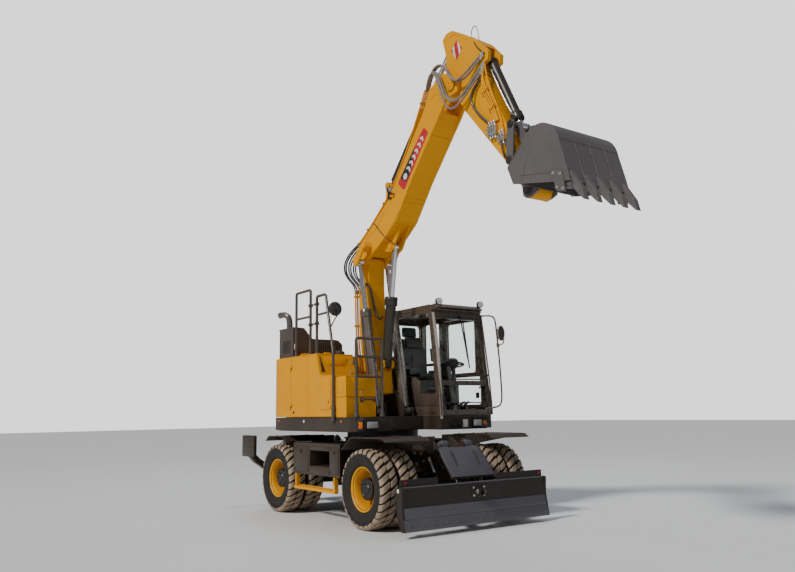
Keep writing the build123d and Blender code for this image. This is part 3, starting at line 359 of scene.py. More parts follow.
tread_rubber = surface("tread_rubber", (0.4, 0.295, 0.205), (0.23, 0.165, 0.115), patch=9.0, grain=140.0,
    rough=(0.75, 0.95), bump=0.4, dust=(0.52, 0.39, 0.28), dust_share=0.4)
hose_rubber = surface("hose_rubber", (0.036, 0.032, 0.03), (0.022, 0.019, 0.018), patch=30.0, grain=400.0,
    rough=(0.35, 0.55), bump=0.2, coat=0.15, dust=dusty, dust_share=0.06)
hose_sleeve = surface("hose_sleeve", (0.3, 0.26, 0.22), (0.16, 0.135, 0.115), patch=40.0, grain=500.0,
    rough=(0.4, 0.6), bump=0.5, dust=dusty, dust_share=0.2)
black_plastic = surface("black_plastic", (0.032, 0.029, 0.027), (0.02, 0.018, 0.017), patch=8.0, grain=300.0,
    rough=(0.4, 0.6), bump=0.15, dust=dusty, dust_share=0.12)
hub_paint = surface("hub_paint", (0.01, 0.009, 0.009), (0.006, 0.006, 0.006), patch=12.0, rough=(0.3, 0.5),
    coat=0.1, wear=bare_steel, wear_share=0.1, dust=dusty, dust_share=0.02)
plated_steel = surface("plated_steel", (0.62, 0.6, 0.56), (0.44, 0.42, 0.39), patch=40.0, grain=300.0,
    rough=(0.25, 0.45), metal=0.85, bump=0.1)
engine_cast = surface("engine_cast", (0.055, 0.048, 0.042), (0.035, 0.03, 0.027), patch=6.0, grain=120.0,
    rough=(0.55, 0.75), bump=0.3, dust=dusty, dust_share=0.3)
seat_cloth = surface("seat_cloth", (0.048, 0.062, 0.052), (0.026, 0.036, 0.03), patch=6.0, grain=600.0,
    rough=(0.8, 0.95), bump=0.6)
decal_red = surface("decal_red", (0.6, 0.022, 0.03), (0.48, 0.015, 0.022), patch=10.0, rough=(0.3, 0.45), coat=0.3)
decal_white = surface("decal_white", (0.82, 0.8, 0.76), (0.72, 0.7, 0.66), patch=10.0, rough=(0.3, 0.45), coat=0.3)
decal_black = surface("decal_black", (0.026, 0.03, 0.032), (0.016, 0.018, 0.02), patch=10.0, rough=(0.3, 0.45),
    coat=0.3)


def clear_finish(name, colour, roughness, ior, alpha_tint=1.0):
    """Glass or lamp lens, a little uneven in its roughness and colour."""
    finish = bpy.data.materials.new(name)
    finish.use_nodes = True
    tree = finish.node_tree
    shader = tree.nodes["Principled BSDF"]
    place = tree.nodes.new("ShaderNodeTexCoord")
    streaks = tree.nodes.new("ShaderNodeTexNoise")
    streaks.inputs["Scale"].default_value = 6.0
    streaks.inputs["Detail"].default_value = 4.0
    tree.links.new(place.outputs["Object"], streaks.inputs["Vector"])
    tones = tree.nodes.new("ShaderNodeValToRGB")
    tones.color_ramp.elements[0].color = (*[channel * 0.9 for channel in colour], 1)
    tones.color_ramp.elements[1].color = (*colour, 1)
    span = tree.nodes.new("ShaderNodeMapRange")
    span.inputs["To Min"].default_value = roughness
    span.inputs["To Max"].default_value = roughness + 0.06
    tree.links.new(streaks.outputs["Fac"], tones.inputs["Fac"])
    tree.links.new(streaks.outputs["Fac"], span.inputs["Value"])
    tree.links.new(tones.outputs["Color"], shader.inputs["Base Color"])
    tree.links.new(span.outputs["Result"], shader.inputs["Roughness"])
    shader.inputs["IOR"].default_value = ior
    shader.inputs["Transmission Weight"].default_value = alpha_tint
    return finish


cab_glass_finish = clear_finish("cab_glass_finish", (0.93, 0.975, 0.965), 0.005, 1.05)
lens_clear = clear_finish("lens_clear", (0.92, 0.92, 0.9), 0.05, 1.35, alpha_tint=0.6)
lens_amber = clear_finish("lens_amber", (0.95, 0.22, 0.01), 0.12, 1.4, alpha_tint=0.35)
lens_red = clear_finish("lens_red", (0.3, 0.006, 0.008), 0.15, 1.4, alpha_tint=0.2)
mirror_glass = surface("mirror_glass", (0.72, 0.75, 0.78), (0.64, 0.67, 0.7), rough=(0.03, 0.08), metal=1.0,
    bump=0.0)

node_finishes = {"boom_yellow": yellow_paint, "body_yellow": yellow_paint, "rim_yellow": rim_paint,
    "tyre": tyre_rubber, "frame_grey": frame_paint, "cab_brown": cab_paint, "barrel_silver": barrel_steel,
    "rod_chrome": chrome, "window_glass": cab_glass_finish, "interior_black": black_plastic,
    "engine_iron": engine_cast, "bucket_steel": bucket_paint, "rail_dark": rail_paint}
special_finishes = {"engine_hood": hood_plastic, "dozer_blade": blade_paint, "adjust_barrel": cylinder_paint,
    "arm_barrel": cylinder_paint, "bucket_barrel": cylinder_paint, "exhaust": barrel_steel,
    "outrigger_barrel_left": cylinder_paint, "outrigger_barrel_right": cylinder_paint}
for entry in frame["record"]["subparts"]:
    label = entry["node"]
    solid = nodes[label]
    solid.data.materials.clear()
    solid.data.materials.append(special_finishes.get(label, node_finishes[entry["material_slot"]]))


# ================================================================ floor and light
floor_finish = surface("floor_finish", (0.8, 0.8, 0.8), (0.78, 0.78, 0.78), patch=0.3, grain=30.0,
    rough=(0.6, 0.75), bump=0.02)
bpy.ops.mesh.primitive_plane_add(size=160, location=(0, 0, 0))
floor = bpy.context.active_object
floor.name = "studio_floor"
floor.data.materials.append(floor_finish)

world = bpy.data.worlds.new("studio_light")
bpy.context.scene.world = world
world.use_nodes = True
world_tree = world.node_tree
fill_light = world_tree.nodes["Background"]
fill_light.inputs["Color"].default_value = (0.84, 0.92, 1.0, 1)
fill_light.inputs["Strength"].default_value = 0.22
backdrop = world_tree.nodes.new("ShaderNodeBackground")
backdrop.inputs["Color"].default_value = (1.0, 1.0, 1.0, 1)
backdrop.inputs["Strength"].default_value = 1.6
seen = world_tree.nodes.new("ShaderNodeLightPath")
either = world_tree.nodes.new("ShaderNodeMixShader")
through = world_tree.nodes.new("ShaderNodeMath")
through.operation = "MAXIMUM"
world_tree.links.new(seen.outputs["Is Camera Ray"], through.inputs[0])
world_tree.links.new(seen.outputs["Is Transmission Ray"], through.inputs[1])
world_tree.links.new(through.outputs[0], either.inputs["Fac"])
world_tree.links.new(fill_light.outputs["Background"], either.inputs[1])
world_tree.links.new(backdrop.outputs["Background"], either.inputs[2])
world_tree.links.new(either.outputs["Shader"], world_tree.nodes["World Output"].inputs["Surface"])


def soft_box(name, place, aim, size, power, colour=(1, 1, 1)):
    lamp = bpy.data.lights.new(name, "AREA")
    lamp.shape = "DISK"
    lamp.size = size
    lamp.energy = power
    lamp.color = colour
    holder = bpy.data.objects.new(name, lamp)
    bpy.context.scene.collection.objects.link(holder)
    holder.location = place
    holder.rotation_euler = (Vector(aim) - Vector(place)).to_track_quat("-Z", "Y").to_euler()


key = bpy.data.lights.new("key_light", "SUN")
key.energy = 2.7
key.angle = math.radians(9)
key.color = (1.0, 0.97, 0.92)
key_holder = bpy.data.objects.new("key_light", key)
bpy.context.scene.collection.objects.link(key_holder)
key_holder.rotation_euler = Vector((-0.1, 1.0, -0.86)).to_track_quat("-Z", "Y").to_euler()
soft_box("front_light", (15.0, -5.0, 8.0), (0.0, 0.0, 2.5), 6.0, 170, (0.9, 0.94, 1.0))
soft_box("top_light", (-4.0, 3.0, 16.0), (0.0, 0.0, 2.0), 6.0, 620, (0.8, 0.88, 1.0))


# ================================================================ wheels
front_axle_x, rear_axle_x, axle_z = 1.35, -1.2, 0.5275
tyre_rows = (0.806, 1.136)
casing_half = [(0.0, 0.5065), (0.095, 0.5045), (0.118, 0.497), (0.131, 0.482), (0.1375, 0.455), (0.139, 0.42),
    (0.1385, 0.412), (0.1405, 0.408), (0.14, 0.4), (0.137, 0.396), (0.134, 0.362), (0.126, 0.334), (0.1265, 0.327),
    (0.1235, 0.321), (0.115, 0.309), (0.1, 0.303), (0.089, 0.29), (0.0885, 0.262)]
block_half = [(0.007, 0.5), (0.007, 0.525), (0.06, 0.5262), (0.098, 0.5225), (0.12, 0.5135), (0.136, 0.492),
    (0.1395, 0.468), (0.133, 0.462), (0.118, 0.49)]
block_length = 0.083
block_slant = math.tan(math.radians(33))
tread_pitches = 28


def tread_block(centre, way, length):
    """One tread block on top of a tyre, running from the middle towards one shoulder."""
    outline = [centre + Vector((0, way * y, r)) for y, r in block_half]
    piece = slab(outline, (length, 0, 0), 0)
    for vertex in piece.data.vertices:
        aside = abs(vertex.co.y - centre.y)
        lead = (vertex.co.x - centre.x) / length - 0.5
        squeeze = 0.82 if aside < 0.02 else 1.0
        vertex.co.x = centre.x + lead * length * squeeze - way * (aside - 0.06) * block_slant
    select(piece)
    bpy.ops.object.mode_set(mode="EDIT")
    bpy.ops.mesh.select_all(action="SELECT")
    bpy.ops.mesh.normals_make_consistent(inside=False)
    bpy.ops.object.mode_set(mode="OBJECT")
    return ease(piece, 0.0045, segments=1, angle=35)


def tyre_pair(side):
    """Tread blocks and casings of one twin wheel on the front axle line, at the swing axis."""
    blocks, casings = [], []
    for row in tyre_rows:
        centre = at(0, side * row, axle_z)
        full = casing_half + [(-y, r) for y, r in reversed(casing_half[1:])]
        casings.append(turned(full, centre, (0, 1, 0), steps=72))
        rib = block(-0.0035, 0.0035, side * row + 0.126, side * row + 0.1405, axle_z + 0.42, axle_z + 0.452, 0.0015)
        casings.append(rib)
        casings.extend(round_and_round(rib, 112, centre, (0, 1, 0)))
        far_rib = mirrored(rib, side * row)
        casings.append(far_rib)
        casings.extend(round_and_round(far_rib, 112, centre, (0, 1, 0)))
        for way in (1, -1):
            first = tread_block(centre, way, block_length)
            if way < 0:
                turn = Matrix.Rotation(math.tau / tread_pitches / 2, 4, "Y")
                shift = Matrix.Translation(centre) @ turn @ Matrix.Translation(-centre)
                first.data.transform(shift)
            blocks.append(first)
            blocks.extend(round_and_round(first, tread_pitches, centre, (0, 1, 0)))
    return join(blocks), join(casings)


rim_section = [(1.236, 0.2985), (1.2395, 0.295), (1.2395, 0.29), (1.234, 0.286), (1.227, 0.276), (1.218, 0.259),
    (1.205, 0.25), (1.16, 0.2455), (1.09, 0.242), (1.045, 0.24), (1.02, 0.233), (1.002, 0.218), (0.993, 0.199),
    (0.99, 0.17), (0.99, 0.148), (0.966, 0.148), (0.966, 0.199), (0.976, 0.233), (0.96, 0.242), (0.74, 0.244),
    (0.724, 0.259), (0.715, 0.276), (0.708, 0.286), (0.703, 0.29), (0.703, 0.295), (0.706, 0.2985), (0.713, 0.2985),
    (0.722, 0.28), (0.73, 0.262), (0.745, 0.256), (0.89, 0.256), (0.97, 0.256), (1.05, 0.256), (1.195, 0.256),
    (1.211, 0.262), (1.22, 0.28), (1.228, 0.2985)]
hub_section = [(0.7, 0.082), (0.7, 0.15), (0.96, 0.15), (0.962, 0.15), (1.118, 0.15), (1.121, 0.153),
    (1.133, 0.153), (1.136, 0.15), (1.168, 0.15), (1.176, 0.146), (1.179, 0.138), (1.179, 0.118), (1.174, 0.112),
    (1.174, 0.072), (1.181, 0.066), (1.186, 0.06), (1.186, 0.0), (0.97, 0.0), (0.97, 0.082)]


def rim_and_hub(side):
    centre = at(0, 0, axle_z)
    rim = turned([(side * y, r) for y, r in rim_section], centre, (0, 1, 0), steps=72)
    hub = [turned([(side * y, r) for y, r in hub_section], centre, (0, 1, 0), steps=56)]
    nut = bolt(centre + Vector((0.128, side * 1.179, 0)), (0, side, 0), size=0.0095, height=0.01)
    hub += [nut] + round_and_round(nut, 12, centre, (0, 1, 0))
    plug = bolt(centre + Vector((0.088, side * 1.174, 0.012)), (0, side, 0), size=0.013, height=0.011)
    hub += [plug] + round_and_round(plug, 3, centre, (0, 1, 0))
    cap_screw = bolt(centre + Vector((0.036, side * 1.186, 0)), (0, side, 0), size=0.006, height=0.005)
    hub += [cap_screw] + round_and_round(cap_screw, 6, centre, (0, 1, 0))
    nuts = []
    stud = bar(centre + Vector((0.174, side * 0.985, 0)), centre + Vector((0.174, side * 1.032, 0)), 0.009,
        sides=10)
    cone = bar(centre + Vector((0.174, side * 0.988, 0)), centre + Vector((0.174, side * 1.002, 0)), 0.022,
        sides=16, tip=0.018)
    cap = bar(centre + Vector((0.174, side * 1.0, 0)), centre + Vector((0.174, side * 1.022, 0)), 0.0165, sides=6)
    nuts_one = join([stud, cone, cap])
    nuts = [nuts_one] + round_and_round(nuts_one, 10, centre, (0, 1, 0))
    valve = hose([(-0.205, side * 1.02, axle_z - 0.1), (-0.205, side * 1.07, axle_z - 0.1),
        (-0.196, side * 1.1, axle_z - 0.096)], 0.005)
    return rim, join(hub), join(nuts + [valve])


for side, flank in ((1, "left"), (-1, "right")):
    treads, casings = tyre_pair(side)
    rim, hub, nuts = rim_and_hub(side)
    for axle, axle_x in (("front", front_axle_x), ("rear", rear_axle_x)):
        body = f"wheel_{axle}_{flank}"
        fit(f"tyre_treads_{axle}_{flank}", body, tread_rubber, shifted(treads, axle_x, 0, 0))
        carcass = fit(f"tyre_casings_{axle}_{flank}", body, tyre_rubber, shifted(casings, axle_x, 0, 0))
        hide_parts(f"tyres_{axle}_{flank}")
        wheel_rim = fit(f"rim_{axle}_{flank}", body, rim_paint, shifted(rim, axle_x, 0, 0), smooth=30)
        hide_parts(f"rims_{axle}_{flank}")
        fit(f"hub_{axle}_{flank}", body, hub_paint, shifted(hub, axle_x, 0, 0), smooth=30)
        fit(f"wheel_nuts_{axle}_{flank}", body, plated_steel, shifted(nuts, axle_x, 0, 0), smooth=30)
    for spare in (treads, casings, rim, hub, nuts):
        bpy.data.objects.remove(spare)

# ================================================================ boom, arm and their hoses
boom_y = -0.18
arm_face, boom_face = -0.32, -0.38


def other_side(pieces):
    return pieces + [mirrored(piece, boom_y) for piece in pieces]


def saddle(place, run, span, height=0.02):
    """Pipe clamp: a bridge over the pipes with two bolts. run is along the pipes, span across them."""
    run, span = Vector(run).normalized(), Vector(span)
    out = run.cross(span).normalized()
    if out.y > 0.5 or (abs(out.y) < 0.5 and out.x > 0):
        out = -out
    corners = [place - span / 2 - run * 0.016, place + span / 2 - run * 0.016, place + span / 2 + run * 0.016,
        place - span / 2 + run * 0.016]
    bridge = slab([corner + out * (height - 0.006) for corner in corners], out * 0.007, 0.002)
    feet = [slab(
        [corner + span.normalized() * shift for corner in corners[:1] + corners[3:]] + [
            corner + span.normalized() * (shift + 0.007) for corner in (corners[3], corners[0])], out * height,
        0.001) for shift in (0, span.length - 0.007)]
    bolts = [bolt(place + span * share + out * height, out, 0.008, 0.009) for share in (-0.36, 0.36)]
    return join([bridge] + feet + bolts)


def fitting(place, axis, radius, length=0.06):
    """Hose end: hexagon nut, crimped sleeve and stub."""
    axis = Vector(axis).normalized()
    nut = bar(place, place + axis * length * 0.35, radius * 1.45, sides=6)
    sleeve = bar(place + axis * length * 0.3, place + axis * length, radius * 1.18, sides=14, edge=0.002)
    return join([nut, sleeve])


def pin_cap(point, y, side, radius):
    """Round keeper plate on the end of a pin, with its three bolts."""
    x, z = point
    centre = at(x, y, z)
    disc = turned(
        [(0, 0.004), (side * 0.012, 0.004), (side * 0.012, radius * 0.86), (side * 0.009, radius), (0, radius)],
        centre, (0, 1, 0), steps=32)
    lid = bar(centre + Vector((0, side * 0.01, 0)), centre + Vector((0, side * 0.016, 0)), radius * 0.34, sides=20,
        edge=0.002)
    first = bolt(centre + Vector((radius * 0.62, side * 0.011, 0)), (0, side, 0), radius * 0.13, 0.01)
    return join([disc, lid, first] + round_and_round(first, 3, centre, (0, 1, 0)))


def clipped(outline, normal, reach):
    """Part of a flat outline on one side of a line."""
    kept = []
    for here, there in zip(outline, outline[1:] + outline[:1]):
        a = here[0] * normal[0] + here[1] * normal[1] - reach
        b = there[0] * normal[0] + there[1] * normal[1] - reach
        if a <= 0:
            kept.append(here)
        if a * b < 0:
            share = a / (a - b)
            kept.append((here[0] + (there[0] - here[0]) * share, here[1] + (there[1] - here[1]) * share))
    return kept


# warning diamond on the arm, red and white stripes
diamond = [(2.47, 6.725), (2.59, 6.56), (2.466, 6.425), (2.35, 6.61)]
stripe_run = (0.985, 0.17)
white_part = [side_slab(diamond, arm_face - 0.0012, 0.0022, 0)]
red_part = []
for low, high in ((-9, 3.472), (3.513, 3.588), (3.628, 9)):
    band = clipped(clipped(diamond, stripe_run, high), (-stripe_run[0], -stripe_run[1]), -low)
    if len(band) > 2:
        red_part.append(side_slab(band, arm_face - 0.0022, 0.0015, 0))
fit("warning_diamond_white", "arm", decal_white, other_side(white_part))
if red_part:
    fit("warning_diamond_red", "arm", decal_red, other_side(red_part))

# long plain panel on the boom: red field, black foot, white bars
panel_foot, panel_run, panel_side = Vector((1.165, 4.928)), Vector((0.683, 0.73)), Vector((0.73, -0.683))


def on_panel(along, aside):
    return tuple(panel_foot + panel_run * along + panel_side * aside)


field = [on_panel(a, b) for a,
    b in ((0.0, -0.11), (-0.035, -0.085), (-0.035, 0.085), (0.0, 0.112), (0.9, 0.08), (0.925, 0.055),
        (0.925, -0.055), (0.9, -0.08))]
foot_black = [on_panel(a, b) for a, b in ((0.06, -0.1), (0.09, 0.06), (0.2, 0.085), (0.42, -0.012), (0.62, -0.086))]
bars = []
for start in (0.24, 0.34, 0.44, 0.54, 0.64, 0.74):
    half = 0.06 - start * 0.022
    bars.append([on_panel(start + lean, aside) for lean,
        aside in ((0.0, -half), (0.034, 0.0), (0.0, half), (0.042, half), (0.076, 0.0), (0.042, -half))])
badge = [on_panel(0.145 + 0.052 * math.cos(math.tau * step / 8 + 0.39),
    -0.004 + 0.052 * math.sin(math.tau * step / 8 + 0.39)) for step in range(8)]
fit("boom_panel_red", "upper_boom", decal_red, other_side([side_slab(field, boom_face - 0.0012, 0.0022, 0)]))
fit("boom_panel_black", "upper_boom", decal_black,
    other_side([side_slab(foot_black, boom_face - 0.002, 0.0015, 0)]))
fit("boom_panel_white", "upper_boom", decal_white,
    other_side([side_slab(shape, boom_face - 0.0028, 0.0015, 0) for shape in bars + [badge]]))

# hoses over the fold, from the pipes behind the lower boom to those on the upper boom
pipe_rows = (-0.365, -0.325, -0.28, -0.235, -0.19, -0.14)
fold_lines = []
fold_ends = []
for index, y in enumerate(pipe_rows):
    reach = 0.01 * (index % 2)
    fold_lines.append(hose([(-0.2, y, 3.46), (-0.215, y, 3.56), (-0.33 - reach, y - 0.01, 3.66),
        (-0.5 - reach, y - 0.015, 3.8), (-0.545 - reach, y - 0.015, 3.96), (-0.44 - reach, y - 0.01, 4.11),
        (-0.26, y, 4.2), (-0.09, y, 4.255)], 0.0135))
    fold_ends.append(fitting(at(-0.2, y, 3.445), (0, 0, 1), 0.0165, 0.07))
fit("fold_hoses", ("lower_boom", "upper_boom", (-0.25, 0, 3.62), (-0.25, 0, 4.18)), hose_rubber, fold_lines)
fit("fold_hose_ends", "lower_boom", plated_steel, fold_ends)
fit("fold_hose_tops", "upper_boom", plated_steel,
    [fitting(at(-0.075, y, 4.262), (-0.95, 0, -0.3), 0.0165, 0.07)
        for y in pipe_rows])

# steel pipes behind the lower boom
low_pipes = [hose([(-0.2, y, 3.45), (-0.2, y, 3.3), (-0.196, y, 2.95), (-0.178, y, 2.7), (-0.13, y, 2.45),
    (-0.075, y, 2.18), (-0.06, y, 2.08)], 0.015) for y in pipe_rows]
low_clamps = []
for x, z, run in ((-0.2, 3.4, (0, 0, 1)), (-0.196, 2.92, (0.03, 0, 1)), (-0.12, 2.42, (-0.2, 0, 1))):
    low_clamps.append(saddle(at(x, -0.2525, z), run, (0, 0.275, 0)))
    low_clamps.append(block(x + 0.012, x + 0.07, -0.33, -0.16, z - 0.018, z + 0.018, 0.003))
fit("lower_boom_pipes", "lower_boom", yellow_paint, low_pipes)
fit("lower_boom_pipe_clamps", "lower_boom", yellow_paint, low_clamps)

# steel pipes along the back of the upper boom
back_run = [(-0.075, 4.262), (0.06, 4.335), (0.3, 4.492), (0.56, 4.68), (0.78, 4.84), (0.96, 5.04), (1.35, 5.5),
    (1.64, 5.84), (1.78, 6.04), (1.85, 6.185)]
back_pipes = [hose([(x, y + (0.058 if y > boom_y else -0.058) * (x > 1.6), z) for x, z in back_run], 0.0135)
    for y in (-0.364, -0.33, -0.296, -0.064, -0.03, 0.004)]
back_clamps = []
for x, z, run in ((0.2, 4.43, (0.84, 0, 0.55)), (0.66, 4.755, (0.81, 0, 0.58)), (1.1, 5.21, (0.65, 0, 0.76)),
        (1.45, 5.62, (0.65, 0, 0.76)), (1.76, 6.005, (0.5, 0, 0.86))):
    aside = 0.058 * (x > 1.6)
    for y in (-0.33 - aside, -0.03 + aside):
        back_clamps.append(saddle(at(x, y, z), run, (0, 0.11, 0), 0.018))
fit("upper_boom_pipes", "upper_boom", yellow_paint, back_pipes)
fit("upper_boom_pipe_clamps", "upper_boom", rail_paint, back_clamps)

# hose loops from the boom nose to the arm
loop_lines = []
for gap in (0.0, 0.036):
    loop_lines.append(hose([(1.875, boom_face + 0.03 - gap, 6.235), (1.95, -0.375 - gap, 6.33),
        (2.06, -0.405 - gap, 6.415), (2.23, -0.42 - gap, 6.43), (2.37, -0.425 - gap, 6.33),
        (2.45, -0.425 - gap, 6.15), (2.56, -0.415 - gap, 6.03), (2.72, -0.395 - gap, 6.02 + gap),
        (2.86, -0.37 - gap / 2, 6.14 + gap), (2.975, -0.345 - gap / 3, 6.215 + gap)], 0.016))
    loop_lines.append(hose([(1.845, boom_face + 0.02 - gap, 6.17), (1.9, -0.385 - gap, 6.27),
        (2.01, -0.415 - gap, 6.37), (2.17, -0.43 - gap, 6.35), (2.27, -0.44 - gap, 6.12), (2.37, -0.44 - gap, 5.86),
        (2.53, -0.43 - gap, 5.76 - gap), (2.7, -0.405 - gap, 5.81 - gap), (2.85, -0.375 - gap / 2, 5.94),
        (2.99, -0.345 - gap / 3, 6.06 + gap)], 0.016))
loop_lines.append(hose([(1.86, -0.345, 6.205), (1.9, -0.42, 6.31), (2.06, -0.465, 6.39), (2.19, -0.475, 6.26),
    (2.28, -0.48, 5.96), (2.39, -0.47, 5.69), (2.54, -0.455, 5.64), (2.7, -0.43, 5.73), (2.85, -0.39, 5.9),
    (2.965, -0.345, 6.0)], 0.015))
fit("nose_hose_loops", ("upper_boom", "arm", (2.1, 0, 6.1), (2.72, 0, 6.05)), hose_sleeve, loop_lines)
arm_stubs = []
for x, z, axis in ((2.985, 6.222, (0.8, 0, 0.5)), (2.985, 6.262, (0.8, 0, 0.5)), (3.0, 6.07, (0.8, 0, 0.55)),
        (3.0, 6.11, (0.8, 0, 0.55)), (2.972, 6.008, (0.7, 0, 0.7))):
    arm_stubs.append(fitting(at(x, -0.346, z), axis, 0.016, 0.075))
fit("nose_hose_fittings", "arm", plated_steel, arm_stubs)

# pipes, hoses and valves on the side of the arm
arm_pipes = [hose([(3.045, -0.338, 6.09), (3.0, -0.34, 5.98), (2.975 + step, -0.34, 5.83 - step * 0.2),
    (3.06 + step, -0.34, 5.64), (3.18 + step * 0.8, -0.34, 5.39), (3.24 + step * 0.6, -0.34, 5.255)], 0.012)
    for step in (0.0, 0.038, 0.076)]
arm_pipes.append(hose([(3.06, -0.338, 6.13), (3.085, -0.34, 5.98), (3.145, -0.34, 5.76), (3.25, -0.34, 5.52),
    (3.34, -0.34, 5.3), (3.375, -0.34, 5.08)], 0.011))
fit("arm_pipes", "arm", yellow_paint, arm_pipes)
arm_clamps = [
    saddle(at(3.055, -0.338, 5.745), (0.42, 0, -0.9), (0.125, 0, 0.058), 0.022),
    saddle(at(3.185, -0.338, 5.47), (0.42, 0, -0.9), (0.125, 0, 0.058), 0.022)]
fit("arm_pipe_clamps", "arm", yellow_paint, arm_clamps)
arm_hoses = [
    hose([(2.99, -0.338, 5.93), (2.9, -0.365, 5.89), (2.815, -0.38, 5.78), (2.815, -0.385, 5.64),
        (2.9, -0.378, 5.5), (3.01, -0.362, 5.37), (3.11, -0.345, 5.27)], 0.017),
    hose([(3.34, -0.352, 4.95), (3.365, -0.38, 4.88), (3.385, -0.375, 4.78), (3.4, -0.35, 4.7)], 0.012),
    hose([(3.4, -0.352, 4.96), (3.45, -0.385, 4.9), (3.47, -0.38, 4.8), (3.45, -0.35, 4.71)], 0.012),
    hose([(2.7, -0.2, 6.7), (2.79, -0.29, 6.63), (2.87, -0.338, 6.48), (2.96, -0.34, 6.37), (3.06, -0.338, 6.28)],
        0.0085)]
fit("arm_hoses", "arm", hose_rubber, arm_hoses)
fit("arm_top_loop", "arm", plated_steel,
    hose([(2.665, -0.2, 6.72), (2.65, -0.2, 6.8), (2.7, -0.2, 6.88), (2.77, -0.2, 6.85), (2.8, -0.2, 6.74),
        (2.815, -0.2, 6.6)], 0.008))


def valve_cluster(centre, width, rows, columns):
    """Valve block with its caps and hose fittings, standing on the side of the arm."""
    x, y, z = centre
    parts = [block(x - width / 2, x + width / 2, y - 0.026, y + 0.026, z - width / 2, z + width / 2, 0.005)]
    for row in range(rows):
        for column in range(columns):
            px = x + width * ((column + 0.5) / columns - 0.5)
            pz = z + width * ((row + 0.5) / rows - 0.5)
            spot = at(px, y - 0.024, pz)
            parts.append(bar(spot, spot + Vector((0, -0.018, 0)), width * 0.36 / columns, sides=6))
            parts.append(bar(spot + Vector((0, -0.016, 0)), spot + Vector((0, -0.03, 0)), width * 0.24 / columns,
                sides=12, edge=0.002))
    for column in range(columns):
        px = x + width * ((column + 0.5) / columns - 0.5)
        parts.append(fitting(at(px, y, z + width / 2 - 0.004), (-0.3, -0.15, 0.9), 0.013, 0.06))
        parts.append(fitting(at(px, y, z - width / 2 + 0.004), (0.2, -0.25, -0.9), 0.013, 0.06))
    parts.append(fitting(at(x - width / 2 + 0.003, y, z + width * 0.2), (-1, -0.1, 0.25), 0.013, 0.06))
    parts.append(fitting(at(x - width / 2 + 0.003, y, z - width * 0.25), (-1, -0.1, -0.1), 0.013, 0.055))
    return join(parts)


fit("arm_valves", "arm", plated_steel,
    [valve_cluster((3.185, -0.347, 5.15), 0.14, 3, 3), valve_cluster((3.355, -0.345, 5.0), 0.095, 2, 2)])

# pipe beside the bucket cylinder
fit("bucket_cylinder_pipe", "bucket_barrel", plated_steel,
    [
        hose([(3.11, -0.24, 6.03), (3.12, -0.275, 6.0), (3.185, -0.29, 5.92), (3.235, -0.285, 5.78),
            (3.345, -0.275, 5.54), (3.43, -0.27, 5.36), (3.468, -0.25, 5.29)], 0.0125),
        fitting(at(3.112, -0.232, 6.032), (0.1, -0.9, -0.2), 0.013, 0.045),
        fitting(at(3.47, -0.243, 5.288), (-0.1, -0.8, 0.3), 0.013, 0.045)])


def gland(foot, eye, y, reach, radius, length=0.11, bolts=8):
    """Ring of a cylinder's head, with its screws, round the end of the barrel."""
    foot, eye = at(foot[0], y, foot[1]), at(eye[0], y, eye[1])
    run = (eye - foot).normalized()
    head = foot + run * (reach - length)
    ring = turned(
        [(0, radius * 0.8), (0, radius * 1.16), (0.008, radius * 1.22), (length - 0.008, radius * 1.22),
            (length, radius * 1.16), (length, radius * 0.8)], head, run, steps=36)
    aside = run.orthogonal().normalized()
    first = bolt(head + run * length + aside * radius * 1.0, run, radius * 0.085, 0.01)
    return join([ring, first] + round_and_round(first, bolts, head, run))


fit("adjust_cylinder_head", "adjust_barrel", cylinder_paint,
    gland((0.4, 2.27), (0.68, 4.09), boom_y, 1.048, 0.0825, 0.135))
fit("arm_cylinder_head", "arm_barrel", cylinder_paint, gland((0.64, 5.07), (2.24, 6.8), boom_y, 1.306, 0.068, 0.11))
fit("bucket_cylinder_head", "bucket_barrel", cylinder_paint,
    gland((3.03, 6.22), (3.55, 5.107), boom_y, 1.106, 0.068, 0.11))
lift_trim = []
for y in (boom_y - 0.26, boom_y + 0.26):
    lift_trim.append(gland((0.52, 1.55), (0.06, 3.93), y, 1.606, 0.075, 0.12))
    side = -1 if y < boom_y else 1
    lift_trim.append(hose([(0.47, y + side * 0.075, 1.8), (0.44, y + side * 0.1, 1.9),
        (0.33, y + side * 0.098, 2.45), (0.245, y + side * 0.098, 2.9), (0.23, y + side * 0.08, 3.0)], 0.0115))
fit("lift_cylinder_trim", "lift_barrels", barrel_steel, lift_trim)
fit("lift_rod_bands", "lift_rods", cylinder_paint,
    [turned([(-0.03, 0.045), (0.03, 0.045), (0.035, 0.062), (-0.035, 0.062)], at(0.06, y, 3.93), (0, 1, 0),
        steps=28) for y in (boom_y - 0.26 - 0.052, boom_y + 0.26 + 0.052)])

# pin keepers
caps = {
    "upper_boom": [((0.06, 3.93), 0.202, 0.078), ((2.4, 6.06), 0.212, 0.082), ((0.68, 4.09), 0.096, 0.06),
        ((0.64, 5.07), 0.101, 0.058)],
    "idler": [((3.51, 4.64), 0.215, 0.055), ((3.55, 5.107), 0.21, 0.052)],
    "bucket": [((3.78, 4.2), 0.184, 0.07), ((3.8267, 4.5973), 0.183, 0.056)],
    "upper_structure": [((0.19, 1.95), 0.188, 0.072), ((0.52, 1.55), 0.367, 0.064)],
    "lower_boom": [((0.4, 2.27), 0.101, 0.056)]}
for body, ends in caps.items():
    keepers = []
    for point, reach, radius in ends:
        for side in (1, -1):
            keepers.append(pin_cap(point, boom_y + side * reach, side, radius))
    fit(f"pin_keepers_{body}", body, yellow_paint if body in ("upper_boom", "lower_boom") else cylinder_paint,
        keepers)


def weld(points, radius=0.0055):
    return hose(points, radius, sides=2, smooth=3)


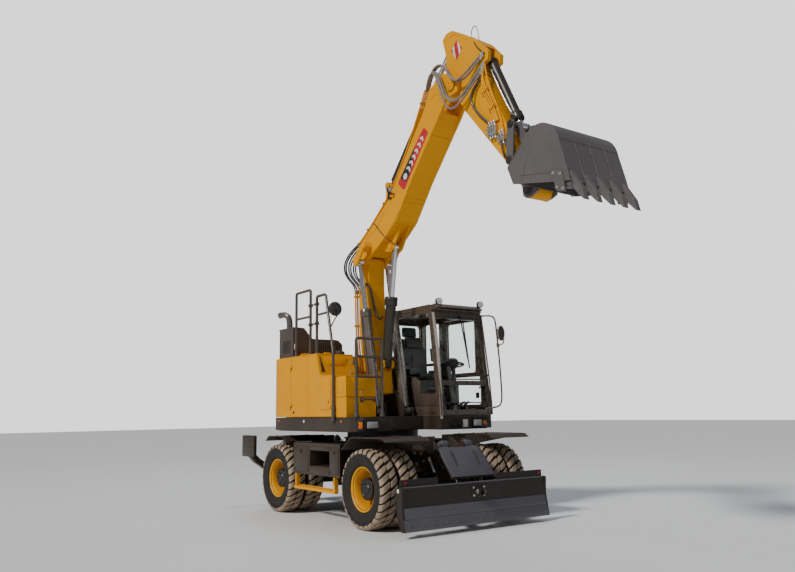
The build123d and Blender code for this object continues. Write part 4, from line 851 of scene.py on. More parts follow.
belly_seams = []
for x, z in ((1.195, 4.668), (1.235, 4.719), (1.905, 5.487)):
    belly_seams.append(weld([(x, -0.378, z - 0.002), (x, -0.18, z - 0.003), (x, 0.018, z - 0.002)], 0.006))
for side in (1, -1):
    y = boom_y + side * 0.2005
    belly_seams.append(weld([(1.095, y, 4.54), (0.98, y, 4.46), (0.86, y, 4.33), (0.7, y, 4.225), (0.44, y, 4.06)]))
    belly_seams.append(weld([(0.15, y, 4.29), (0.34, y, 4.33), (0.56, y, 4.48), (0.7, y, 4.64)]))
    belly_seams.append(weld([(1.93, y, 6.02), (2.01, y, 6.065), (2.1, y, 6.055), (2.17, y, 6.0)], 0.007))
fit("upper_boom_welds", "upper_boom", yellow_paint, belly_seams)
arm_seams = []
for side in (1, -1):
    y = boom_y + side * 0.1405
    arm_seams.append(weld([(2.225, y, 6.8), (2.262, y, 6.855)]))
    arm_seams.append(weld([(2.33, y, 6.82), (2.4, y, 6.865), (2.6, y, 6.72), (2.7, y, 6.64)]))
    arm_seams.append(weld([(2.9, y, 6.08), (2.96, y, 5.86), (3.3, y, 5.12), (3.42, y, 4.83)], 0.004))
fit("arm_welds", "arm", yellow_paint, arm_seams)

# work lamp and wire on the boom
lamp_place = at(0.87, -0.4, 4.925)
lamp_shell = turned(
    [(-0.05, 0.0), (-0.05, 0.028), (-0.03, 0.044), (0.026, 0.05), (0.03, 0.047), (0.022, 0.044), (0.022, 0.0)],
    lamp_place, (0.94, -0.1, -0.12), steps=28)
lamp_arm = [block(0.825, 0.845, -0.412, -0.388, 4.79, 4.895, 0.003),
    block(0.815, 0.905, -0.408, -0.376, 4.785, 4.8, 0.003)]
fit("boom_lamp_housing", "upper_boom", black_plastic, [lamp_shell] + lamp_arm)
fit("boom_lamp_lens", "upper_boom", lens_clear,
    turned([(0.018, 0.0), (0.018, 0.044), (0.03, 0.042), (0.035, 0.026), (0.037, 0.0)], lamp_place,
        (0.94, -0.1, -0.12), steps=28))
fit("boom_wires", "upper_boom", hose_rubber,
    [
        hose([(0.33, -0.372, 4.5), (0.4, -0.386, 4.5), (0.48, -0.39, 4.42), (0.6, -0.39, 4.3), (0.72, -0.386, 4.2),
            (0.79, -0.33, 4.13), (0.8, -0.27, 4.1)], 0.0075),
        hose([(0.835, -0.4, 4.89), (0.9, -0.394, 4.84), (0.96, -0.39, 4.86), (0.99, -0.386, 4.83),
            (0.93, -0.384, 4.78)], 0.007)])

# hose down the front of the lower boom to the adjusting cylinder
fit("adjust_hose", ("lower_boom", "adjust_barrel", (0.2, 0, 3.2), (0.4, 0, 3.0)), hose_rubber,
    [hose([(0.085, -0.345, 3.56), (0.15, -0.34, 3.555), (0.178, -0.325, 3.49), (0.182, -0.295, 3.37),
        (0.185, -0.265, 3.24), (0.2, -0.24, 3.11), (0.26, -0.235, 3.01), (0.35, -0.255, 2.975),
        (0.42, -0.262, 3.0)], 0.018)])
fit("adjust_hose_fittings", "lower_boom", yellow_paint,
    [
        fitting(at(0.02, -0.346, 3.56), (1, 0, 0), 0.018, 0.075),
        hose([(0.025, -0.346, 3.56), (-0.04, -0.346, 3.56), (-0.09, -0.344, 3.5), (-0.11, -0.34, 3.43)], 0.015),
        saddle(at(-0.04, -0.34, 3.556), (1, 0, 0), (0, 0, 0.08), 0.022)])

# hoses from the deck to the lower boom, between the lift barrel and the cab
deck_lines = []
manifold = [block(0.15, 0.42, 0.178, 0.24, 1.4, 1.47, 0.008)]
for index in range(6):
    side_step, row = index % 2, index // 2
    y = 0.19 + 0.034 * side_step
    shift = 0.062 * row + 0.02 * side_step
    deck_lines.append(hose([(0.24 + shift, y, 1.46), (0.236 + shift, y, 1.65), (0.216 + shift, y, 1.9),
        (0.185 + shift, y, 2.2), (0.15 + 0.8 * shift, y, 2.45), (0.12 + 0.5 * shift, 0.8 * y, 2.64),
        (0.1 + 0.3 * shift, 0.4 * y, 2.77), (0.08, 0.004, 2.84 + 0.02 * row), (0.06, -0.0165, 2.9 + 0.03 * row)],
        0.0125))
    manifold.append(fitting(at(0.24 + shift, y, 1.47), (0, 0, 1), 0.0125, 0.075))
fit("boom_foot_hoses", ("upper_structure", "lower_boom", (0.2, 0, 2.1), (0.09, 0, 2.74)), hose_rubber, deck_lines)
loops = []
for x, y, z in ((0.16, 0.2, 1.86), (0.25, 0.206, 1.8), (0.34, 0.2, 1.77), (0.2, 0.204, 1.7), (0.3, 0.2, 1.64)):
    manifold.append(bar(at(x, y, z), at(x + 0.03, y + 0.03, z + 0.02), 0.017, sides=6))
    manifold.append(bar(at(x - 0.01, y - 0.02, z - 0.01), at(x + 0.01, y + 0.01, z + 0.01), 0.024, sides=16,
        edge=0.003))
    loops.append(hose([(x + 0.02, y + 0.02, z + 0.015), (x + 0.07, y + 0.02, z + 0.03), (x + 0.09, y, z - 0.08),
        (x + 0.05, y - 0.01, 1.52), (x + 0.02, y, 1.44)], 0.011))
fit("boom_foot_fittings", "upper_structure", plated_steel, manifold)
fit("boom_foot_loops", "upper_structure", hose_rubber, loops)

# ================================================================ cab
def tube(points, radius=0.016, sides=4):
    return hose(points, radius, sides=sides, smooth=3)


def stud_row(points, axis, size=0.009, height=0.008):
    return [bolt(at(*point), axis, size, height) for point in points]


def latch(x, y, z, out, wide=0.06, tall=0.075):
    """Round-cornered recessed latch with its paddle, on a side panel."""
    plate = block(x - wide / 2, x + wide / 2, y, y + out[1] * 0.008, z - tall / 2, z + tall / 2, 0.003)
    paddle = block(x - wide * 0.34, x + wide * 0.34, y + out[1] * 0.006, y + out[1] * 0.018, z - tall * 0.3,
        z + tall * 0.12, 0.004)
    screw = bolt(at(x, y + out[1] * 0.008, z + tall * 0.3), out, 0.006, 0.006)
    return [plate, paddle, screw]


# ribs, latches and plates on the cab's right side
right_y = 0.2515
cab_ribs = [
    block(0.455, 1.16, right_y - 0.006, right_y + 0.002, 1.633, 1.647, 0.0025),
    block(0.455, 1.16, right_y - 0.006, right_y + 0.002, 1.467, 1.481, 0.0025),
    slab([at(0.46, right_y + 0.001, 1.655), at(0.69, right_y + 0.001, 1.655), at(0.69, right_y + 0.001, 2.01),
        at(0.56, right_y + 0.001, 2.075), at(0.46, right_y + 0.001, 2.075)], (0, -0.005, 0), 0.0025),
    slab([at(0.905, right_y + 0.001, 1.5), at(1.07, right_y + 0.001, 1.5), at(1.07, right_y + 0.001, 1.612),
        at(0.905, right_y + 0.001, 1.612)], (0, -0.005, 0), 0.0025),
    slab([at(0.5, right_y + 0.001, 1.5), at(0.86, right_y + 0.001, 1.5), at(0.86, right_y + 0.001, 1.612),
        at(0.5, right_y + 0.001, 1.612)], (0, -0.004, 0), 0.0025)]
cab_ribs += latch(0.695, right_y - 0.003, 1.575, (0, -1, 0), 0.06, 0.055)
cab_ribs += latch(0.994, right_y - 0.003, 1.546, (0, -1, 0), 0.055, 0.06)
cab_ribs += stud_row([(x, right_y - 0.004, 1.64) for x in (0.5, 0.61, 0.83, 0.95, 1.1)], (0, -1, 0), 0.007)
# bright corner posts beside the windscreen and along the door frame
for y in (0.25, 1.247):
    way = -1 if y < 0.7 else 1
    cab_ribs.append(hose(
        [(1.012, y + way * 0.002, 3.06), (1.105, y + way * 0.002, 2.45), (1.165, y + way * 0.002, 2.05),
            (1.204, y + way * 0.002, 1.6), (1.206, y + way * 0.002, 1.48)], 0.013, sides=3, smooth=3))
fit("cab_ribs", "upper_structure", cab_paint, cab_ribs, smooth=30)

# rubber seals round the windows
seals = []


def seal_loop(points, radius=0.0085):
    closed = points + [points[0]]
    return [bar(at(*here), at(*there), radius, sides=8) for here, there in zip(closed, closed[1:])]


seals += seal_loop([(1.187, 0.3, 1.665), (1.187, 1.197, 1.665), (1.014, 1.197, 2.985), (1.014, 0.3, 2.985)])
fit("window_seals", "upper_structure", black_plastic, seals)

# strip, sockets and lamps below the windscreen
face_x = 1.206
front_bits = [
    block(face_x - 0.002, face_x + 0.01, 0.285, 1.215, 1.548, 1.562, 0.003),
    block(face_x - 0.002, face_x + 0.008, 0.27, 1.23, 1.48, 1.492, 0.003)]
front_bits += stud_row([(face_x + 0.001, y, 1.52) for y in (0.33, 0.56, 0.95, 1.17)], (1, 0, 0), 0.008)
fit("cab_front_strips", "upper_structure", cab_paint, front_bits)

# grab rail and cross bar across the windscreen
rail_bits = [
    tube([(1.15, 0.69, 2.075), (1.205, 0.69, 2.072), (1.232, 0.705, 2.072), (1.232, 0.8, 2.073),
        (1.232, 1.08, 2.08), (1.232, 1.165, 2.082), (1.205, 1.18, 2.082), (1.15, 1.18, 2.082)], 0.0135),
    tube([(1.16, 0.485, 2.018), (1.172, 0.5, 2.018), (1.172, 1.15, 2.022), (1.16, 1.17, 2.022)], 0.01),
    bar(at(1.14, 0.69, 2.075), at(1.185, 0.69, 2.075), 0.024, sides=18, edge=0.003),
    bar(at(1.14, 1.18, 2.082), at(1.185, 1.18, 2.082), 0.024, sides=18, edge=0.003)]
fit("windscreen_rail", "upper_structure", black_plastic, rail_bits)

# wiper
wiper = [
    tube([(1.038, 0.793, 2.99), (1.052, 0.793, 2.94), (1.105, 0.815, 2.62), (1.142, 0.828, 2.38),
        (1.15, 0.832, 2.33)], 0.0105),
    slab([at(1.066, 0.812, 2.9), at(1.155, 0.842, 2.19), at(1.163, 0.842, 2.19), at(1.074, 0.812, 2.9)],
        (0, 0.024, 0), 0.002),
    slab([at(1.058, 0.82, 2.9), at(1.147, 0.85, 2.19), at(1.156, 0.85, 2.19), at(1.067, 0.82, 2.9)], (0, 0.008, 0),
        0.001),
    bar(at(1.01, 0.793, 3.0), at(1.052, 0.793, 2.995), 0.02, sides=18, edge=0.004)]
fit("windscreen_wiper", "upper_structure", black_plastic, wiper)

# roof: visor edge, rain gutter, hatch frame, work lamps
roof_bits = [
    slab([at(1.02, 0.3, 3.12), at(1.12, 0.33, 3.075), at(1.12, 1.17, 3.075), at(1.02, 1.2, 3.12)], (0, 0, 0.01),
        0.003),
    tube([(1.03, 0.262, 3.098), (0.4, 0.25, 3.118), (-0.3, 0.25, 3.118), (-0.545, 0.262, 3.105)], 0.0095),
    tube([(1.03, 1.234, 3.098), (0.4, 1.248, 3.118), (-0.3, 1.248, 3.118), (-0.545, 1.234, 3.105)], 0.0095),
    block(0.0, 0.7, 0.48, 1.01, 3.172, 3.186, 0.006),
    block(0.04, 0.66, 0.52, 0.97, 3.182, 3.194, 0.005),
    block(0.15, 0.23, 0.47, 0.5, 3.18, 3.204, 0.004),
    block(0.47, 0.55, 0.47, 0.5, 3.18, 3.204, 0.004),
    block(-0.43, -0.15, 0.56, 0.93, 3.17, 3.186, 0.006)]
fit("cab_roof_pieces", "upper_structure", cab_paint, roof_bits)
roof_lamp_axis = (0.98, -0.15, -0.1)
lamp_bodies, lamp_glass, lamp_mirrors = [], [], []
for y in (0.376, 1.215):
    spot = at(1.035, y, 3.222)
    lamp_bodies.append(turned(
        [(-0.05, 0.0), (-0.05, 0.034), (-0.028, 0.05), (0.022, 0.056), (0.027, 0.053), (0.02, 0.048), (0.02, 0.0)],
        spot, roof_lamp_axis, steps=28))
    lamp_bodies.append(block(1.005, 1.03, y - 0.012, y + 0.012, 3.118, 3.175, 0.003))
    lamp_bodies.append(block(0.985, 1.045, y - 0.026, y + 0.026, 3.112, 3.124, 0.003))
    lamp_glass.append(turned([(0.026, 0.0), (0.026, 0.048), (0.032, 0.046), (0.038, 0.026), (0.04, 0.0)], spot,
        roof_lamp_axis, steps=28))
    lamp_mirrors.append(turned([(0.014, 0.0), (0.021, 0.047), (0.024, 0.047), (0.018, 0.0)], spot,
        roof_lamp_axis, steps=28))
fit("roof_lamp_housings", "upper_structure", black_plastic, lamp_bodies)
fit("roof_lamp_mirrors", "upper_structure", decal_white, lamp_mirrors)
fit("roof_lamp_lenses", "upper_structure", lens_clear, lamp_glass)

# visor with its brackets and the mirror's loop, in place of the plain ones
visor_bits = [
    side_slab(
        [(0.95, 3.1753), (0.962, 3.1753), (1.002, 3.1), (1.006, 3.092), (1.11, 3.118), (1.104, 3.136), (1.0, 3.19)],
        0.305, 0.9, 0.005),
    tube([(1.0, 1.15, 3.03), (1.13, 1.262, 3.04), (1.25, 1.284, 3.02), (1.325, 1.27, 2.95), (1.345, 1.27, 2.78),
        (1.345, 1.318, 2.24), (1.345, 1.338, 1.78), (1.335, 1.335, 1.66), (1.31, 1.28, 1.59), (1.21, 1.205, 1.58)],
        0.014),
    tube([(1.346, 1.29, 2.545), (1.356, 1.36, 2.56), (1.362, 1.414, 2.605), (1.362, 1.4, 2.66)], 0.01),
    bar(at(1.346, 1.292, 2.52), at(1.346, 1.287, 2.58), 0.024, sides=20, edge=0.005),
    block(1.19, 1.216, 1.18, 1.245, 1.555, 1.605, 0.005)]
for y in (0.42, 0.76, 1.09):
    visor_bits.append(slab([at(1.006, y, 3.094), at(1.1, y, 3.118), at(1.022, y, 3.06)], (0, 0.008, 0), 0.001))
new_fittings = fit("visor_and_loop", "upper_structure", cab_paint, visor_bits)
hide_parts("cab_fittings")
oval = [(1.348 + 0.07 * math.cos(math.tau * step / 24), 2.74 + 0.118 * math.sin(math.tau * step / 24))
    for step in range(24)]
fit("left_mirror_shell", "upper_structure", black_plastic,
    slab([at(1.338, y, z) for y, z in oval], (0.034, 0, 0), 0.009))
fit("left_mirror_rim", "upper_structure", plated_steel,
    hose([(1.369, y, z) for y, z in oval + oval[:1]], 0.006, sides=2, smooth=2))
fit("left_mirror_glass", "upper_structure", mirror_glass,
    slab([at(1.3345, 1.348 + (y - 1.348) * 0.9, 2.74 + (z - 2.74) * 0.94) for y, z in oval], (0.004, 0, 0), 0.001))

# inside: seat, levers, console, screen, wheel
seat_x, seat_y = 0.02, 0.75
seat_parts = [
    block(seat_x - 0.24, seat_x + 0.27, seat_y - 0.245, seat_y + 0.245, 2.055, 2.15, 0.035),
    block(seat_x + 0.16, seat_x + 0.31, seat_y - 0.225, seat_y + 0.225, 2.085, 2.155, 0.03),
    slab([at(seat_x - 0.36, seat_y - 0.235, 2.76), at(seat_x - 0.25, seat_y - 0.235, 2.76),
        at(seat_x - 0.15, seat_y - 0.235, 2.13), at(seat_x - 0.27, seat_y - 0.235, 2.13)], (0, 0.47, 0), 0.035),
    slab([at(seat_x - 0.345, seat_y - 0.135, 2.96), at(seat_x - 0.265, seat_y - 0.135, 2.96),
        at(seat_x - 0.245, seat_y - 0.135, 2.79), at(seat_x - 0.335, seat_y - 0.135, 2.79)], (0, 0.27, 0), 0.028)]
fit("seat_cushions", "upper_structure", seat_cloth, seat_parts)
inside = [
    block(seat_x - 0.2, seat_x + 0.22, seat_y - 0.2, seat_y + 0.2, 1.78, 2.05, 0.01),
    block(seat_x - 0.15, seat_x + 0.3, seat_y - 0.425, seat_y - 0.27, 2.13, 2.225, 0.018),
    block(seat_x - 0.15, seat_x + 0.3, seat_y + 0.27, seat_y + 0.425, 2.13, 2.225, 0.018),
    block(seat_x - 0.22, seat_x + 0.1, seat_y - 0.385, seat_y - 0.285, 2.3, 2.345, 0.014),
    block(seat_x - 0.22, seat_x + 0.1, seat_y + 0.285, seat_y + 0.385, 2.3, 2.345, 0.014)]
for side in (-1, 1):
    y = seat_y + side * 0.345
    inside.append(tube([(seat_x + 0.24, y, 2.22), (seat_x + 0.25, y, 2.29), (seat_x + 0.26, y, 2.35)], 0.01))
    inside.append(bar(at(seat_x + 0.26, y, 2.34), at(seat_x + 0.275, y, 2.455), 0.021, sides=18, edge=0.006,
        tip=0.026))
    inside.append(bar(at(seat_x + 0.205, y, 2.205), at(seat_x + 0.205, y, 2.255), 0.045, sides=18, edge=0.006,
        tip=0.018))
# steering column and wheel
column_foot, column_top = at(0.82, seat_y + 0.08, 1.64), at(0.735, seat_y + 0.13, 2.215)
inside.append(bar(column_foot, column_top, 0.048, sides=18, edge=0.006, tip=0.03))
wheel_axis = (column_top - column_foot).normalized()
wheel_centre = column_top + wheel_axis * 0.055
rim_ring = turned(
    [(0.014 * math.sin(math.tau * step / 10), 0.165 + 0.012 * math.cos(math.tau * step / 10))
        for step in range(10)], wheel_centre, wheel_axis, steps=40)
inside.append(rim_ring)
inside.append(bar(wheel_centre - wheel_axis * 0.045, wheel_centre + wheel_axis * 0.012, 0.04, sides=24, edge=0.004))
spoke = bar(wheel_centre, wheel_centre + wheel_axis.orthogonal().normalized() * 0.175, 0.01, sides=10)
inside += [spoke] + round_and_round(spoke, 3, wheel_centre, wheel_axis)
# pedals and travel levers
for y in (0.62, 0.7, 0.84, 0.93):
    inside.append(slab([at(0.9, y - 0.03, 1.63), at(1.02, y - 0.03, 1.69), at(1.026, y - 0.03, 1.678),
        at(0.906, y - 0.03, 1.618)], (0, 0.06, 0), 0.003))
# screen on its stalk at the right front post
inside.append(tube([(0.98, 0.3, 2.17), (0.94, 0.33, 2.26), (0.93, 0.345, 2.33)], 0.01))
inside.append(slab([at(0.9, 0.3, 2.3), at(0.94, 0.3, 2.29), at(0.9, 0.3, 2.5), at(0.87, 0.3, 2.5)], (0, 0.2, 0),
    0.008))
fit("cab_controls", "upper_structure", black_plastic, inside)

# door: handle, latch plate and hinges
door_bits = [
    tube([(0.905, 1.252, 1.9), (0.905, 1.292, 1.905), (0.905, 1.3, 1.96), (0.88, 1.3, 2.3), (0.87, 1.292, 2.35),
        (0.868, 1.252, 2.356)], 0.0115),
    block(0.83, 0.905, 1.246, 1.262, 1.74, 1.83, 0.006),
    block(0.845, 0.89, 1.258, 1.276, 1.765, 1.79, 0.005)]
fit("door_handle", "door_cab", black_plastic, door_bits)
hinge_bits = []
for z in (1.72, 2.3, 2.86):
    hinge_bits.append(block(-0.05, 0.028, 1.244, 1.253, z - 0.045, z + 0.045, 0.003))
    hinge_bits += stud_row([(-0.012, 1.2525, z - 0.025), (-0.012, 1.2525, z + 0.025)], (0, 1, 0), 0.007)
fit("door_hinge_plates", "upper_structure", cab_paint, hinge_bits)

# ================================================================ house
def crease(points, radius=0.0035):
    return hose(points, radius, sides=2, smooth=2)


def round_latch(place, axis, radius=0.03):
    """Round recessed latch: ring, dished plate and finger bar."""
    axis = Vector(axis).normalized()
    across = axis.orthogonal().normalized()
    ring = turned(
        [(-0.002, radius * 0.3), (-0.002, radius), (0.006, radius), (0.009, radius * 0.92), (0.007, radius * 0.8),
            (0.003, radius * 0.74), (0.002, radius * 0.3)], place, axis, steps=28)
    grip = bar(place + axis * 0.008 - across * radius * 0.7, place + axis * 0.008 + across * radius * 0.7, 0.006,
        sides=12)
    core = bar(place, place + axis * 0.01, radius * 0.42, sides=16, edge=0.001)
    return [ring, grip, core]


def tail_y(x):
    """Half width of the house at its rounded rear corners."""
    return 1.245 if x > -1.04 else 0.245 + math.sqrt(1.0 - (x + 1.04) ** 2)


# creases pressed into the tail, left and right
tail_creases = []
for side in (-1, 1):
    low = [(x, side * tail_y(x), 1.603) for x in (-1.5, -1.35, -1.2, -1.0, -0.9)]
    tail_creases.append(hose(low + [(-0.855, side * 1.245, 1.625)], 0.007, sides=2, smooth=3))
    ridge = [(-1.5, 2.34), (-1.35, 2.29), (-1.2, 2.14), (-1.04, 1.97), (-0.915, 1.78), (-0.855, 1.625)]
    tail_creases.append(hose([(x, side * tail_y(x), z) for x, z in ridge], 0.007, sides=2, smooth=3))
    for z in (1.492, 2.424):
        edge_line = [(x, side * (tail_y(x) - 0.001), z) for x in (-1.7, -1.5, -1.3, -1.12, -0.8)]
        tail_creases.append(hose(edge_line, 0.005, sides=2, smooth=3))
# rear: raised panel, grille surround, lamp recess frames, tow eye
rear_x = -2.0
tail_creases += [
    block(rear_x - 0.006, rear_x + 0.004, -0.36, 0.36, 1.6, 2.3, 0.004),
    block(rear_x - 0.01, rear_x + 0.004, -0.3, 0.3, 1.68, 2.22, 0.005)]
tail_creases += stud_row([(rear_x - 0.006, y, z) for y in (-0.33, 0.33) for z in (1.64, 1.95, 2.26)], (-1, 0, 0),
    0.01)
fit("tail_pressings", "upper_structure", yellow_paint, tail_creases)
rear_lights, rear_frames = [], []
for side in (-1, 1):
    y = side * 0.56
    spot_x = -(1.04 + math.sqrt(max(0.0, 1 - max(0.0, abs(y) - 0.245) ** 2))) + 0.012
    rear_frames.append(block(spot_x - 0.03, spot_x + 0.03, y - 0.085, y + 0.085, 1.52, 1.6, 0.006))
    rear_lights.append(block(spot_x - 0.04, spot_x - 0.02, y - 0.075, y - 0.005, 1.53, 1.59, 0.005))
    rear_lights.append(block(spot_x - 0.04, spot_x - 0.02, y + 0.005, y + 0.075, 1.53, 1.59, 0.005))
fit("tail_lamp_frames", "upper_structure", black_plastic, rear_frames)
fit("tail_lamps", "upper_structure", lens_red, rear_lights)

# pressings of the right service door
door_marks = [
    side_slab(
        [(0.115, 2.055), (0.49, 2.055), (0.53, 2.02), (0.53, 1.62), (0.49, 1.588), (0.215, 1.588), (0.175, 1.62)],
        -1.257, 0.013, 0.009),
    crease([(-0.2, -1.245, 2.415), (-0.2, -1.245, 1.5)], 0.006),
    crease([(-0.725, -1.2455, 2.415), (0.08, -1.2455, 2.415), (0.18, -1.2455, 2.1), (0.225, -1.2455, 2.066)],
        0.0045),
    crease([(-0.73, -1.2455, 1.496), (0.555, -1.2455, 1.496)], 0.0045),
    crease([(0.556, -1.2455, 1.5), (0.556, -1.2455, 2.068)], 0.0045)]
fit("right_door_pressings", "door_right", yellow_paint, door_marks)
fit("right_door_latch", "door_right", black_plastic,
    round_latch(at(0.47, -1.249, 1.7), (0, -1, 0), 0.024) + round_latch(at(-0.64, -1.247, 1.56), (0, -1, 0), 0.02))

# left service door: slatted vent and latch
vent = [block(-1.14, -0.64, 1.244, 1.25, 1.54, 2.38, 0.004)]
for step in range(14):
    z = 1.6 + step * 0.052
    vent.append(slab([at(-1.11, 1.249, z), at(-0.8, 1.249, z), at(-0.8, 1.262, z + 0.012),
        at(-1.11, 1.262, z + 0.012)], (0, 0, 0.01), 0.0015))
fit("left_door_vent", "door_left", yellow_paint, vent)
fit("left_door_latch", "door_left", black_plastic, round_latch(at(-0.7, 1.25, 1.95), (0, 1, 0), 0.028))

# pressing, latches and seam strips of the upper front face
lean = Vector((0.957, 0, 0.291))
plate_corners = [(0.112, -1.135, 2.372), (0.146, -1.08, 2.26), (0.146, -0.8, 2.26), (0.112, -0.72, 2.372)]
front_marks = [slab([at(*corner) - lean * 0.001 for corner in plate_corners], lean * 0.013, 0.008)]
front_marks.append(crease([(0.096, -1.2, 2.428), (0.096, -0.585, 2.428)], 0.0045))
front_marks.append(crease([(0.187, -1.2, 2.118), (0.187, -0.585, 2.118)], 0.004))
front_marks.append(crease([(0.232, -1.2, 2.083), (0.56, -1.2, 2.083)], 0.004))
front_marks.append(block(0.02, 0.085, -1.09, -0.99, 2.428, 2.452, 0.006))
front_marks.append(block(-0.3, -0.06, -0.95, -0.58, 2.428, 2.438, 0.005))
fit("front_face_pressing", "upper_structure", yellow_paint, front_marks)
fit("front_face_latches", "upper_structure", plated_steel,
    round_latch(at(0.131, -0.64, 2.31), lean, 0.026) + round_latch(at(0.182, -0.69, 2.142), lean, 0.026))
filler = [
    turned([(-0.01, 0.0), (-0.01, 0.085), (0.02, 0.088), (0.04, 0.082), (0.055, 0.06), (0.06, 0.0)],
        at(-0.06, -0.76, 2.44), (0, 0, 1), steps=36),
    tube([(-0.06, -0.81, 2.485), (-0.06, -0.805, 2.525), (-0.06, -0.715, 2.525), (-0.06, -0.71, 2.485)], 0.0075)]
fit("tank_filler_cap", "upper_structure", black_plastic, filler)

# toolbox: pressed lid, lock, grab bar and its bracket
lid_marks = [
    slab([at(0.929, y, z) for y, z in ((-1.165, 2.045), (-1.055, 1.865), (-0.9, 1.865), (-0.81, 2.045))],
        (0.014, 0, 0), 0.009),
    crease([(0.9305, -1.23, 1.772), (0.9305, -0.745, 1.772)], 0.0045),
    crease([(0.9305, -1.23, 2.072), (0.9305, -0.745, 2.072)], 0.0045),
    crease([(0.9305, -1.2345, 1.772), (0.9305, -1.2345, 2.072)], 0.0045),
    side_slab([(0.615, 2.03), (0.885, 2.03), (0.86, 1.82), (0.64, 1.82)], -1.2385, 0.005, 0.003)]
fit("toolbox_lid_pressings", "lid_toolbox", yellow_paint, lid_marks)
fit("toolbox_lock", "lid_toolbox", plated_steel, round_latch(at(0.93, -0.985, 1.835), (1, 0, 0), 0.02))
box_marks = [
    crease([(0.9305, -1.23, 1.49), (0.9305, -1.23, 1.756)], 0.0045),
    crease([(0.9305, -0.745, 1.49), (0.9305, -0.745, 1.756)], 0.0045),
    crease([(0.9305, -1.23, 1.756), (0.9305, -0.745, 1.756)], 0.0035),
    slab([at(0.929, y, z) for y, z in ((-0.94, 1.69), (-0.8, 1.69), (-0.8, 1.64))], (0.004, 0, 0), 0.002)]
fit("toolbox_pressings", "upper_structure", yellow_paint, box_marks)
grab = [
    tube([(0.932, -0.985, 1.725), (0.965, -0.98, 1.727), (0.972, -0.95, 1.727), (0.972, -0.79, 1.722),
        (0.965, -0.76, 1.72), (0.932, -0.755, 1.72)], 0.0125),
    block(0.928, 0.94, -1.015, -0.95, 1.685, 1.755, 0.004),
    block(0.928, 0.94, -0.785, -0.73, 1.69, 1.75, 0.004)]
grab += stud_row([(0.94, y, z) for y in (-1.002, -0.964) for z in (1.698, 1.742)], (1, 0, 0), 0.006)
fit("toolbox_grab_bar", "upper_structure", rail_paint, grab)

# engine hood: slatted vents, ribs, latch, cap
slats, slots = [], []
for index in range(7):
    x = -1.42 + index * 0.04
    slots.append(block(x, x + 0.02, -1.0525, -1.045, 2.53, 2.745, 0.002))
    slots.append(block(x, x + 0.02, 0.145, 0.1525, 2.44, 2.488, 0.002))
for index in range(11):
    y = -0.62 + index * 0.044
    slots.append(block(-1.065, -1.0575, y, y + 0.022, 2.5, 2.7, 0.002))
for index in range(12):
    y = -0.95 + index * 0.08
    slots.append(block(-1.5765, -1.569, y, y + 0.036, 2.52, 2.72, 0.002))
ridge = [(-1.05, 2.95), (-0.85, 2.95), (-0.7, 2.77), (-0.2, 2.77), (-0.112, 2.7), (-0.112, 2.5), (0.15, 2.5)]
for x in (-1.066, -1.568):
    slats.append(hose([(x, y, z - 0.004) for y, z in ridge], 0.011, sides=3, smooth=2))
slats.append(hose([(-1.064, -1.047, 2.95), (-1.57, -1.047, 2.95)], 0.009, sides=3, smooth=2))
slats.append(hose([(-1.064, -1.048, 2.44), (-1.064, -1.048, 2.95)], 0.009, sides=3, smooth=2))
fit("hood_vents", "hood", hub_paint, slots, smooth=30)
# the hood's edge ribs in the lighter bluish plate paint: a painted sky reflection on the rounded edges
fit("hood_edges_sky_sheen", "hood", plate_paint_and_sky_sheen, slats, smooth=30)
fit("hood_latch", "hood", decal_white,
    [
        block(-1.062, -1.04, -1.03, -0.985, 2.585, 2.675, 0.008),
        block(-1.045, -1.03, -1.022, -0.993, 2.605, 2.645, 0.005)])
fit("hood_hoop", "upper_structure", yellow_paint,
    [tube([(-0.985, -0.96, 2.425), (-0.985, -0.955, 2.48), (-0.985, -0.9, 2.505), (-0.985, -0.74, 2.505),
        (-0.985, -0.685, 2.48), (-0.985, -0.68, 2.425)], 0.016)])

# exhaust: wider pipe with its open end turned to the rear
pipe_path = [(-1.43, -0.925, 2.945), (-1.43, -0.925, 3.05), (-1.435, -0.93, 3.13), (-1.475, -0.945, 3.205),
    (-1.56, -0.975, 3.225), (-1.64, -1.0, 3.215)]
mouth = at(*pipe_path[-1])
mouth_axis = Vector((-0.94, -0.3, -0.13)).normalized()
exhaust_pipe = fit("exhaust_pipe", "hood", barrel_steel,
    [
        hose(pipe_path, 0.052, sides=6, smooth=4),
        turned([(-0.004, 0.056), (0.01, 0.056), (0.01, 0.047), (-0.004, 0.047)], mouth, mouth_axis, steps=36),
        turned([(0.0, 0.05), (0.014, 0.064), (0.022, 0.064), (0.03, 0.05)], at(-1.43, -0.925, 2.945), (0, 0, 1),
            steps=36)])
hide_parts("exhaust")
fit("exhaust_mouth", "hood", hub_paint,
    turned([(0.0, 0.0), (0.0, 0.047), (0.006, 0.048), (0.006, 0.0)], mouth + mouth_axis * 0.001, mouth_axis,
        steps=32))

# rails: thicker tubes with bent corners, in place of the plain ones
def railing(run, radius=0.022, bend=0.075):
    points = [run[0]]
    for before, corner, after in zip(run, run[1:], run[2:]):
        corner = Vector(corner)
        points.append(tuple(corner + (Vector(before) - corner).normalized() * bend))
        points.append(tuple(corner))
        points.append(tuple(corner + (Vector(after) - corner).normalized() * bend))
    return tube(points + [run[-1]], radius, 5)


